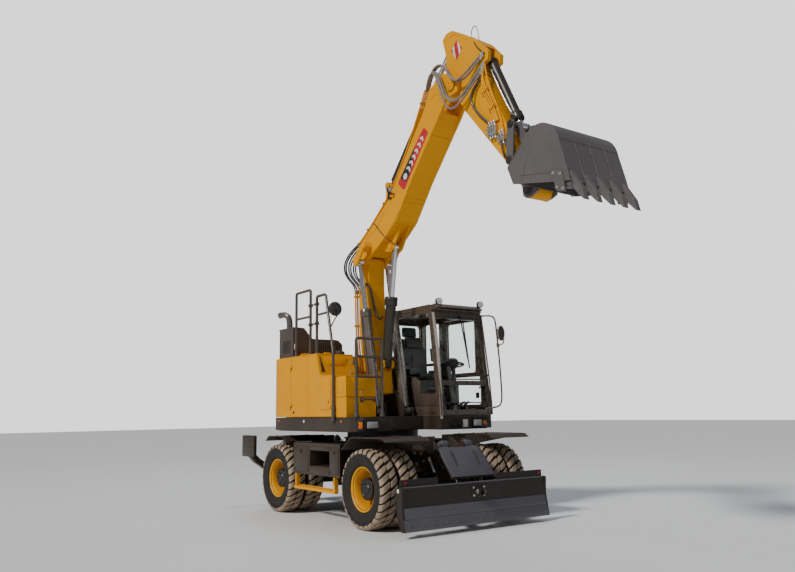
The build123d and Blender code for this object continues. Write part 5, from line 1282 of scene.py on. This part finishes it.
rails = [
    railing([(-0.695, -1.18, 2.43), (-0.695, -1.18, 3.45), (-0.22, -1.18, 3.45), (-0.22, -1.18, 2.43)]),
    railing([(-0.017, -1.18, 2.43), (-0.017, -1.18, 3.318), (0.255, -1.18, 3.318), (0.628, -1.266, 2.39),
        (0.628, -1.266, 1.43)]),
    railing([(1.1, -1.17, 1.478), (1.1, -1.17, 2.58), (1.1, -0.74, 2.58), (1.1, -0.74, 1.478)]),
    bar(at(-0.695, -1.18, 3.03), at(-0.22, -1.18, 3.03), 0.018),
    bar(at(-0.017, -1.18, 3.03), at(0.374, -1.2, 3.03), 0.018),
    bar(at(1.1, -1.17, 2.04), at(1.1, -0.74, 2.04), 0.02),
    bar(at(1.1, -1.17, 2.32), at(1.1, -0.74, 2.32), 0.02),
    block(0.606, 0.65, -1.282, -1.244, 1.422, 1.468, 0.004)]
new_rails = fit("deck_rails", "upper_structure", rail_paint, rails)
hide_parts("handrails")

# clamps, foot sleeves, mirror
rail_bits = []
for z in (2.9, 3.2):
    for x in (-0.22, -0.017):
        rail_bits.append(block(x - 0.03, x + 0.03, -1.206, -1.154, z - 0.024, z + 0.024, 0.004))
        rail_bits.append(bolt(at(x - 0.016, -1.206, z), (0, -1, 0), 0.008, 0.01))
        rail_bits.append(bolt(at(x + 0.016, -1.206, z), (0, -1, 0), 0.008, 0.01))
    rail_bits.append(block(-0.2, -0.035, -1.19, -1.17, z - 0.012, z + 0.012, 0.003))
for x, y, low, high in ((0.628, -1.266, 1.425, 1.64), (1.1, -1.17, 1.478, 1.68), (1.1, -0.74, 1.478, 1.56)):
    rail_bits.append(bar(at(x, y, low), at(x, y, high), 0.03, sides=20, edge=0.004))
    rail_bits.append(bar(at(x, y, low), at(x, y, low + 0.03), 0.042, sides=20, edge=0.005))
for z in (1.52, 1.6):
    rail_bits.append(bolt(at(0.652, -1.27, z), (1, 0, 0), 0.01, 0.014))
    rail_bits.append(bolt(at(1.124, -1.172, z), (1, 0, 0), 0.01, 0.014))
for x in (-0.695, -0.22, -0.017):
    rail_bits.append(turned([(0.0, 0.0), (0.0, 0.045), (0.01, 0.045), (0.018, 0.026), (0.05, 0.022), (0.05, 0.0)],
        at(x, -1.18, 2.43), (0, 0, 1), steps=24))
fit("rail_clamps", "upper_structure", rail_paint, rail_bits)
disc_centre = at(0.795, -1.33, 3.02)
fit("round_mirror_shell", "upper_structure", black_plastic,
    [
        turned(
            [(-0.02, 0.0), (-0.02, 0.096), (-0.014, 0.104), (0.01, 0.104), (0.024, 0.092), (0.034, 0.06),
                (0.036, 0.0)], disc_centre, (1, 0, 0), steps=48),
        turned([(0.03, 0.0), (0.03, 0.03), (0.048, 0.026), (0.05, 0.0)], disc_centre + Vector((0, 0.012, 0.012)),
            (1, 0, 0), steps=24),
        tube([(0.845, -1.318, 3.032), (0.862, -1.316, 3.0), (0.845, -1.316, 2.93), (0.69, -1.295, 2.86),
            (0.52, -1.238, 2.8)], 0.01)])
fit("round_mirror_glass", "upper_structure", mirror_glass,
    turned([(-0.0235, 0.0), (-0.0215, 0.093), (-0.019, 0.093), (-0.019, 0.0)], disc_centre, (1, 0, 0), steps=40))

# skirt: lamps, markers, sockets, slits and bolts
skirt_x = 1.18
frames, clear_parts, amber_parts = [], [], []
frames.append(block(skirt_x - 0.004, skirt_x + 0.024, -1.106, -0.868, 1.292, 1.436, 0.006))
frames.append(slab([at(1.18, -1.11, 1.292), at(1.118, -1.174, 1.292), at(1.118, -1.174, 1.436),
    at(1.18, -1.11, 1.436)], Vector((0.72, -0.69, 0)) * 0.014, 0.004))
amber_parts.append(slab([at(1.176, -1.114, 1.318), at(1.134, -1.157, 1.318), at(1.134, -1.157, 1.412),
    at(1.176, -1.114, 1.412)], Vector((0.72, -0.69, 0)) * 0.024, 0.007))
clear_parts.append(block(skirt_x + 0.012, skirt_x + 0.034, -1.06, -0.884, 1.32, 1.412, 0.01))
frames.append(block(skirt_x - 0.004, skirt_x + 0.024, 0.85, 1.16, 1.292, 1.43, 0.006))
clear_parts.append(block(skirt_x + 0.012, skirt_x + 0.034, 0.87, 1.022, 1.315, 1.408, 0.01))
amber_parts.append(turned([(0.004, 0.0), (0.004, 0.046), (0.02, 0.044), (0.028, 0.026), (0.03, 0.0)],
    at(skirt_x, 1.094, 1.362), (1, 0, 0), steps=32))
for y in (0.483, 0.618):
    frames.append(turned(
        [(0.0, 0.016), (0.0, 0.052), (0.012, 0.052), (0.024, 0.04), (0.024, 0.026), (0.008, 0.022), (0.008, 0.016)],
        at(skirt_x, y, 1.358), (1, 0, 0), steps=28))
    frames.append(block(skirt_x, skirt_x + 0.008, y - 0.056, y + 0.056, 1.302, 1.414, 0.004))
    frames.append(bar(at(skirt_x, y, 1.358), at(skirt_x + 0.016, y, 1.358), 0.018, sides=20))
fit("skirt_lamp_frames", "upper_structure", hub_paint, frames)
fit("skirt_head_lamps", "upper_structure", lens_clear, clear_parts)
clear_back = [
    block(skirt_x + 0.002, skirt_x + 0.014, -1.056, -0.888, 1.324, 1.408, 0.003),
    block(skirt_x + 0.002, skirt_x + 0.014, 0.874, 1.018, 1.319, 1.404, 0.003),
    block(skirt_x - 0.002, skirt_x + 0.012, 0.666, 0.766, 1.3, 1.418, 0.006)]
fit("skirt_lamp_mirrors", "upper_structure", decal_white, clear_back)
for side in (-1, 1):
    amber_parts.append(bar(at(0.819, side * 1.244, 1.42), at(0.819, side * 1.258, 1.42), 0.024, sides=24,
        edge=0.006, tip=0.018))
    amber_parts.append(bar(at(-1.163, side * (tail_y(-1.163) - 0.001), 1.426),
        at(-1.163, side * (tail_y(-1.163) + 0.013), 1.426), 0.024, sides=24, edge=0.006, tip=0.018))
fit("skirt_amber_lamps", "upper_structure", lens_amber, amber_parts)
fit("skirt_white_markers", "upper_structure", decal_white,
    [bar(at(-0.298, side * 1.244, 1.419), at(-0.298, side * 1.256, 1.419), 0.024, sides=24, edge=0.006, tip=0.018)
        for side in (-1, 1)])
slits = [block(skirt_x - 0.01, skirt_x + 0.007, -0.815, -0.69, z - 0.009, z + 0.009, 0.003)
    for z in (1.405, 1.365, 1.325)]
slits += [block(skirt_x - 0.01, skirt_x + 0.007, -0.64, -0.56, 1.3, 1.43, 0.006)]
fit("skirt_slits", "upper_structure", hub_paint, slits)
skirt_bits = []
for side in (-1, 1):
    skirt_bits.append(block(1.014, 1.02, side * 1.244, side * 1.2475, 1.286, 1.472, 0.001))
    skirt_bits += stud_row([(x, side * 1.245, 1.455) for x in (-0.85, -0.45, 0.1, 0.55, 0.95)], (0, side, 0), 0.008)
    skirt_bits.append(crease([(-1.03, side * 1.245, 1.284), (1.1, side * 1.245, 1.284)], 0.0045))
    skirt_bits.append(crease([(-1.03, side * 1.245, 1.474), (1.02, side * 1.245, 1.474)], 0.0045))
skirt_bits.append(crease([(1.1805, -1.1, 1.474), (1.1805, -0.52, 1.474)], 0.0045))
skirt_bits.append(crease([(1.1805, 0.3, 1.286), (1.1805, 1.18, 1.286)], 0.0045))
skirt_bits.append(crease([(1.1805, 0.3, 1.44), (1.1805, 1.18, 1.44)], 0.0055))
fit("skirt_seams", "upper_structure", frame_paint, skirt_bits)

# ================================================================ blade, axles, steps and outriggers
slope = Vector((0.9788, 0, 0.2054))
blade_bits = []
edge_low, edge_high = Vector((2.3305, 0, 0.08)), Vector((2.301, 0, 0.222))
edge_plate = [slab([at(edge_low.x, -1.246, edge_low.z), at(edge_low.x, 1.246, edge_low.z),
    at(edge_high.x, 1.246, edge_high.z), at(edge_high.x, -1.246, edge_high.z)], slope * 0.01, 0.003)]
for index in range(13):
    y = -1.17 + index * 0.195
    spot = at(2.3155, y, 0.15) + slope * 0.009
    edge_plate.append(turned([(0.0, 0.0), (0.0, 0.017), (0.005, 0.014), (0.006, 0.0)], spot, slope, steps=16))
edge_plate.append(hose([(2.266, -1.235, 0.61), (2.266, 1.235, 0.61)], 0.01, sides=3, smooth=2))
blade_bits.append(hose([(2.272, -1.245, 0.366), (2.272, 1.245, 0.366)], 0.005, sides=2, smooth=2))
blade_bits.append(hose([(2.247, -1.248, 0.7), (2.247, -0.662, 0.7)], 0.006, sides=2, smooth=2))
blade_bits.append(hose([(2.247, 0.362, 0.7), (2.247, 1.198, 0.7)], 0.006, sides=2, smooth=2))
for y in (-1.18, -0.74, 0.44, 1.12):
    blade_bits.append(bolt(at(2.246, y + 0.055, 0.63), (1, 0, 0), 0.012, 0.012))
for side in (-1, 1):
    y = side * 1.2505
    blade_bits.append(crease([(2.158, y, 0.608), (2.158, y, 0.3), (2.252, y, 0.08)], 0.005))
    blade_bits.append(crease([(2.28, y, 0.6), (2.27, y, 0.366), (2.322, y, 0.09)], 0.005))
for y in (-0.62, 0.0, 0.62):
    blade_bits.append(slab([at(2.13, y - 0.012, 0.42), at(2.246, y - 0.012, 0.6), at(2.246, y - 0.012, 0.43)],
        (0, 0.024, 0), 0.002))
blade_bits.append(slab([at(2.268, -0.115, 0.415), at(2.268, 0.115, 0.415), at(2.268, 0.115, 0.565),
    at(2.268, -0.115, 0.565)], (0.01, 0, 0), 0.004))
fit("blade_edge_and_ribs", "blade", blade_paint, blade_bits)
# bluish plate paint on the sloped lower face, the cutting edge and the bar along the top edge: a painted sky
# reflection on the blade's front
fit("blade_sloped_face_sky_sheen", "blade", plate_paint_and_sky_sheen,
    slab([at(2.2995, -1.226, 0.224), at(2.2995, 1.226, 0.224), at(2.2705, 1.226, 0.364), at(2.2705, -1.226, 0.364)],
        slope * 0.004, 0.001))
fit("blade_cutting_edge", "blade", plate_paint_and_sky_sheen, edge_plate)
tow_bolts = [bolt(at(2.277, y, z), (1, 0, 0), 0.013, 0.014) for y in (-0.088, 0.088) for z in (0.44, 0.54)]
tow_bolts += [bar(at(2.315, y, 0.49), at(2.315, y + 0.012 * (1 if y > 0 else -1), 0.49), 0.03, sides=24, edge=0.003)
    for y in (-0.058, 0.058)]
fit("blade_bolts", "blade", plated_steel, tow_bolts)
fit("blade_reflectors", "blade", lens_red,
    [turned([(0.0, 0.0), (0.0, 0.027), (0.006, 0.025), (0.008, 0.0)], at(2.2465, y, 0.667), (1, 0, 0), steps=24)
        for y in (-1.18, 1.139)])
fit("blade_markers", "blade", decal_white,
    [block(2.172, 2.215, side * 1.249, side * 1.2545, 0.545, 0.59, 0.002) for side in (-1, 1)])

# guard over the blade cylinders: frame, bolts
guard_low, guard_high = Vector((2.171, 0, 0.6705)), Vector((1.857, 0, 1.052))
guard_out = Vector((0.7717, 0, 0.636))


def on_guard(y, share, lift=0.0):
    point = guard_low.lerp(guard_high, share) + guard_out * lift
    return at(point.x, y, point.z)


guard_bits = [slab([on_guard(-0.368, 0.0, 0.011), on_guard(0.368, 0.0, 0.011), on_guard(0.368, 0.9, 0.011),
    on_guard(0.3, 1.0, 0.011), on_guard(0.2, 1.0, 0.011), on_guard(0.18, 0.965, 0.011),
    on_guard(-0.18, 0.965, 0.011), on_guard(-0.2, 1.0, 0.011), on_guard(-0.3, 1.0, 0.011),
    on_guard(-0.368, 0.93, 0.011)], guard_out * 0.012, 0.004)]
for y in (-0.33, 0.33):
    guard_bits.append(bolt(on_guard(y, 0.05, 0.022), guard_out, 0.011, 0.01))
fit("blade_guard_plate", "blade_barrels", plate_paint_and_sky_sheen, guard_bits)

# chassis: covers, bolts, lamps, hoses at the front
chassis_bits = [block(1.1, 1.6, -0.292, -0.279, 0.7, 0.9, 0.006), block(1.1, 1.6, 0.279, 0.292, 0.7, 0.9, 0.006),
    block(0.7, 0.8, -0.475, -0.458, 0.56, 0.98, 0.006), block(-0.68, -0.56, -0.475, -0.458, 0.56, 0.98, 0.006),
    block(0.7, 0.8, 0.458, 0.475, 0.56, 0.98, 0.006), block(-0.68, -0.56, 0.458, 0.475, 0.56, 0.98, 0.006)]
for side in (-1, 1):
    chassis_bits += stud_row([(x, side * 0.292, z) for x in (1.13, 1.35, 1.57) for z in (0.725, 0.875)],
        (0, side, 0), 0.013, 0.013)
    chassis_bits += stud_row([(x, side * 0.28, z) for x in (1.213, 1.31, 1.423) for z in (0.96, 1.01)],
        (0, side, 0), 0.012, 0.012)
    chassis_bits += stud_row([(x, side * 0.475, z) for x in (0.75, -0.62) for z in (0.6, 0.77, 0.94)], (0, side, 0),
        0.014, 0.013)
    chassis_bits += stud_row([(-2.44, side * y, z) for y in (0.12, 0.3, 0.48) for z in (0.5, 0.68)], (-1, 0, 0),
        0.014, 0.013)
chassis_bits += [block(-2.452, -2.436, -0.36, 0.36, 0.78, 1.06, 0.008)]
chassis_bits += stud_row([(-2.452, y, z) for y in (-0.31, 0.31) for z in (0.82, 1.02)], (-1, 0, 0), 0.013, 0.012)
fit("chassis_covers", "chassis", frame_paint, chassis_bits)
fit("chassis_grease_caps", "chassis", lens_red,
    [bar(at(x, y, z), at(x, y + (-0.014 if y < 0 else 0.014), z), 0.013, sides=16, edge=0.003) for x, y,
        z in ((1.732, -0.281, 1.084), (1.831, 0.121, 1.086), (1.423, -0.281, 0.93), (1.564, -0.281, 0.96))])
front_hoses = []
for index, y in enumerate((-0.235, -0.205, 0.205, 0.235)):
    side = -1 if y < 0 else 1
    front_hoses.append(hose([(1.64, y, 0.965), (1.72, y + side * 0.015, 0.93), (1.8, y + side * 0.09, 0.9),
        (1.85, side * (0.3 + 0.012 * index), 0.86), (1.88, side * 0.305, 0.8), (1.9, side * 0.272, 0.78)], 0.0125))
fit("blade_cylinder_hoses", ("chassis", "blade_barrels", (1.7, 0, 0.93), (1.86, 0, 0.84)), hose_rubber, front_hoses)
side_lines = []
for side in (-1, 1):
    side_lines.append(hose([(0.98, side * 0.3, 0.72), (0.9, side * 0.34, 0.76), (0.86, side * 0.4, 0.8),
        (0.82, side * 0.44, 0.85), (0.815, side * 0.47, 0.95), (0.81, side * 0.47, 1.04)], 0.012))
    side_lines.append(hose([(-0.7, side * 0.33, 0.9), (-0.9, side * 0.33, 0.86), (-1.6, side * 0.3, 0.86),
        (-2.1, side * 0.33, 0.9), (-2.16, side * 0.33, 0.96)], 0.013))
fit("chassis_hoses", "chassis", hose_rubber, side_lines)

front_plates, plate_studs, pin_drums = [], [], []
for side in (-1, 1):
    front_plates.append(side_slab(
        [(1.25, 1.185), (1.345, 1.165), (1.52, 1.06), (1.525, 0.96), (1.64, 0.83), (1.64, 0.7), (1.24, 0.7)],
        side * 0.32 - 0.008, 0.016, 0.005))
    front_plates.append(side_slab(
        [(1.535, 1.11), (1.59, 1.16), (1.68, 1.165), (1.735, 1.12), (1.76, 1.04), (1.7, 0.96), (1.56, 0.96)],
        side * 0.3 - 0.009, 0.018, 0.006))
    for x, z in ((1.3, 1.13), (1.42, 1.08), (1.44, 0.96), (1.3, 0.96), (1.5, 0.86), (1.35, 0.82)):
        plate_studs.append(bolt(at(x, side * 0.328, z), (0, side, 0), 0.02, 0.016))
    for x, z in ((1.59, 1.11), (1.69, 1.115), (1.6, 1.0)):
        plate_studs.append(bolt(at(x, side * 0.309, z), (0, side, 0), 0.015, 0.014))
    plate_studs.append(bar(at(1.66, side * 0.345, 0.89), at(1.77, side * 0.345, 0.72), 0.02, sides=20, edge=0.003))
    plate_studs.append(bar(at(1.645, side * 0.345, 0.912), at(1.672, side * 0.345, 0.872), 0.028, sides=20,
        edge=0.003))
    pin_drums.append(bar(at(1.8, side * 0.15, 1.09), at(1.8, side * 0.262, 1.09), 0.052, sides=28, edge=0.006))
    pin_drums.append(bar(at(1.8, side * 0.262, 1.09), at(1.8, side * 0.286, 1.09), 0.038, sides=28, edge=0.005))
fit("front_bracket_plates", "chassis", frame_paint, front_plates)
fit("front_bracket_studs", "chassis", plated_steel, plate_studs)
fit("blade_pin_drums", "chassis", plate_paint_and_sky_sheen, pin_drums)

# axles: cover bolts, brake pipes, drive shafts, steering joints
axle_bits = []
cover_centre = at(rear_axle_x, 0.15, axle_z)
first = bolt(at(rear_axle_x - 0.15, 0.15, axle_z), (0, 1, 0), 0.011, 0.012)
axle_bits += [first] + round_and_round(first, 12, cover_centre, (0, 1, 0))
twin = mirrored(first, 0)
axle_bits += [twin] + round_and_round(twin, 12, cover_centre, (0, 1, 0))
for side in (-1, 1):
    first = bolt(at(-1.2, side * 0.68, axle_z + 0.14), (0, side, 0), 0.01, 0.012)
    axle_bits += [first] + round_and_round(first, 10, at(-1.2, 0, axle_z), (0, 1, 0))
    axle_bits.append(hose([(-1.2, side * 0.18, axle_z + 0.135), (-1.2, side * 0.34, axle_z + 0.125),
        (-1.2, side * 0.56, axle_z + 0.125), (-1.2, side * 0.62, axle_z + 0.17)], 0.007))
axle_bits.append(bar(at(-0.98, 0, axle_z), at(-0.705, 0, axle_z + 0.02), 0.038, sides=24, edge=0.003))
axle_bits.append(bar(at(-0.98, 0, axle_z), at(-0.945, 0, axle_z), 0.075, sides=28, edge=0.006))
axle_bits.append(bar(at(-0.94, 0, axle_z), at(-0.905, 0, axle_z + 0.003), 0.062, sides=8, edge=0.006))
fit("axle_fittings", "chassis", frame_paint, axle_bits)
ring_bolts = bolt(at(0.605, 0, 1.15), (0, 0, 1), 0.012, 0.016)
fit("slew_ring_bolts", "chassis", plated_steel,
    [ring_bolts] + round_and_round(ring_bolts, 36, at(0, 0, 0), (0, 0, 1)))

# boxes beside the chassis: lids, latches, tread plate; steps and fenders
box_bits, box_latches, step_bits, step_plates = [], [], [], []
for side in (-1, 1):
    face = side * 1.2405
    box_bits.append(block(-0.61, -0.15, face - side * 0.002, face + side * 0.006, 0.68, 1.06, 0.005))
    box_bits.append(block(0.5, 0.735, face - side * 0.002, face + side * 0.006, 0.68, 1.06, 0.005))
    box_bits.append(block(-0.12, 0.47, face - side * 0.002, face + side * 0.005, 1.012, 1.06, 0.004))
    box_bits.append(block(-0.12, 0.47, face - side * 0.002, face + side * 0.005, 0.66, 0.745, 0.004))
    box_bits += stud_row(
        [(x, face + side * 0.006, z) for x in (-0.585, -0.175, 0.52, 0.715) for z in (0.705, 1.035)], (0, side, 0),
        0.009, 0.01)
    box_latches += round_latch(at(-0.38, face + side * 0.006, 0.98), (0, side, 0), 0.026)
    box_latches += round_latch(at(0.618, face + side * 0.006, 0.98), (0, side, 0), 0.022)
    for step in range(8):
        x = -0.085 + step * 0.072
        step_plates.append(block(x, x + 0.03, side * 0.93, side * 1.225, 0.7655, 0.7735, 0.002))
    for step in range(17):
        x = -0.6 + step * 0.075
        step_bits.append(block(x, x + 0.028, side * 1.172, side * 1.228, 0.449, 0.459, 0.002))
    for x in (-0.58, 0.58):
        step_bits.append(bolt(at(x, side * 1.23, 0.6), (0, side, 0), 0.011, 0.012))
        step_bits.append(bolt(at(x, side * 1.23, 0.56), (0, side, 0), 0.011, 0.012))
    step_bits.append(block(-0.64, 0.6, side * 1.168, side * 1.174, 0.412, 0.47, 0.002))
fit("side_box_lids", "chassis", frame_paint, box_bits)
fit("side_box_latches", "chassis", black_plastic, box_latches)
fit("pocket_treads", "chassis", frame_paint, step_plates)
fit("step_teeth", "chassis", yellow_paint, step_bits)
fender_bits = []
for side in (-1, 1):
    for table in ([(0.85, 1.036), (1.09, 1.207), (1.88, 1.207), (1.95, 1.16)],
            [(-1.58, 1.11), (-1.48, 1.186), (-0.98, 1.186), (-0.87, 1.11)]):
        fender_bits.append(hose([(x, side * 1.266, z - 0.004) for x, z in table], 0.008, sides=3, smooth=2))
        fender_bits.append(hose([(x, side * 0.563, z - 0.004) for x, z in table], 0.006, sides=3, smooth=2))
    fender_bits += stud_row([(x, side * y, 1.207) for x in (1.15, 1.7) for y in (0.62, 0.9, 1.16)], (0, 0, 1),
        0.011, 0.01)
    fender_bits += stud_row([(x, side * y, 1.186) for x in (-1.39, -1.06) for y in (0.62, 0.9, 1.16)], (0, 0, 1),
        0.011, 0.01)
fit("fender_edges", "chassis", frame_paint, fender_bits)

# outriggers: feet, bolts, hoses
for side, flank in ((1, "left"), (-1, "right")):
    leg_bits = [
        block(-2.545, -2.055, side * 1.26, side * 1.268, 0.825, 1.175, 0.005),
        block(-2.48, -2.12, side * 1.205, side * 1.217, 0.86, 1.14, 0.005)]
    for z in (0.9, 0.98, 1.06, 1.12):
        leg_bits.append(block(-2.53, -2.07, side * 1.264, side * 1.272, z - 0.01, z + 0.01, 0.003))
    for x in (-2.36, -2.24):
        leg_bits.append(hose([(x, side * 1.21, 0.83), (x, side * 1.06, 0.64), (x, side * 0.86, 0.545)], 0.006,
            sides=2))
        leg_bits.append(bolt(at(x + (-0.002 if x < -2.3 else 0.002), side * 0.64, 0.47),
            (-1 if x < -2.3 else 1, 0, 0), 0.022, 0.018))
        leg_bits.append(bolt(at(x + (-0.002 if x < -2.3 else 0.002), side * 0.88, 0.65),
            (-1 if x < -2.3 else 1, 0, 0), 0.018, 0.016))
    fit(f"outrigger_foot_{flank}", f"leg_{flank}", frame_paint, leg_bits)
    fit(f"outrigger_head_{flank}", f"leg_barrel_{flank}", cylinder_paint,
        [
            hose([(-2.3, side * 0.52, 1.13), (-2.3, side * 0.62, 1.04), (-2.3, side * 0.73, 0.94)], 0.009),
            bar(at(-2.3, side * 0.5, 1.118), at(-2.3, side * 0.53, 1.14), 0.018, sides=6)])

# ================================================================ bucket
bucket_left, bucket_right = boom_y + 0.51, boom_y - 0.51
bucket_bits, bucket_bolts = [], []
for side, face in ((1, bucket_left), (-1, bucket_right)):
    for x, z in ((4.515, 4.135), (4.62, 4.105), (4.565, 3.96), (4.65, 3.925)):
        bucket_bolts.append(bolt(at(x, face + side * 0.02, z), (0, side, 0), 0.015, 0.014))
    bucket_bits.append(crease([(3.79, face + side * 0.001, 4.407), (3.86, face + side * 0.001, 4.478),
        (4.01, face + side * 0.001, 4.602), (4.092, face + side * 0.001, 4.395), (4.0, face + side * 0.001, 4.17)],
        0.005))
    bucket_bits.append(crease([(3.975, face + side * 0.001, 4.262), (4.47, face + side * 0.001, 4.166)], 0.007))
for y in (boom_y - 0.255, boom_y, boom_y + 0.255):
    bucket_bits.append(hose([(4.598, y, 4.562), (4.655, y, 4.38), (4.702, y, 4.192), (4.738, y, 4.04)], 0.004,
        sides=2, smooth=3))
bucket_bits.append(hose([(4.608, -0.688, 4.53), (4.608, 0.328, 4.53)], 0.004, sides=2, smooth=2))
claws = []
claw_y = [boom_y + step for step in (-0.44, -0.22, 0.0, 0.22, 0.44)]
for y in claw_y:
    claws.append(block(4.64, 4.745, y - 0.048, y + 0.048, 3.94, 4.01, 0.008))
    claws.append(bar(at(4.735, y - 0.056, 3.925), at(4.735, y + 0.056, 3.925), 0.015, sides=16, edge=0.003))
    claws.append(hose([(4.752, y - 0.03, 3.945), (4.83, y - 0.024, 3.88), (4.885, y - 0.018, 3.8)], 0.006, sides=2))
    claws.append(hose([(4.752, y + 0.03, 3.945), (4.83, y + 0.024, 3.88), (4.885, y + 0.018, 3.8)], 0.006, sides=2))
for low, high in zip(claw_y, claw_y[1:]):
    claws.append(block(4.672, 4.742, low + 0.062, high - 0.062, 3.952, 3.992, 0.006))
fit("bucket_seams", "bucket", bucket_paint, bucket_bits + claws)
fit("bucket_bolts", "bucket", plated_steel, bucket_bolts)

# painted highlight on the right front post: a lighter, glossy strip; painted shade beside the side box: a thin dark
# wedge
post_painted_highlight = surface("post_painted_highlight", (0.4, 0.35, 0.3), (0.32, 0.28, 0.24), rough=(0.22, 0.34), coat=0.4, dust=dusty,
    dust_share=0.03)
fit("cab_post_painted_highlight", "upper_structure", post_painted_highlight,
    hose([(1.036, 0.262, 3.04), (1.09, 0.262, 2.72), (1.137, 0.262, 2.44), (1.17, 0.262, 1.95),
        (1.192, 0.262, 1.43)], 0.023))
# thin dark sheet laid on the right end of the sloped front face: painted shade
painted_shade_rise = 0.306
fit("side_box_painted_shade", "upper_structure", frame_paint,
    slab([at(0.1075 + (2.391 - z) * painted_shade_rise, y, z) for y,
        z in ((-1.206, 2.4), (-1.196, 2.396), (-1.146, 2.15), (-1.204, 2.15))], Vector((0.96, 0, 0.29)) * 0.003,
        0.001))
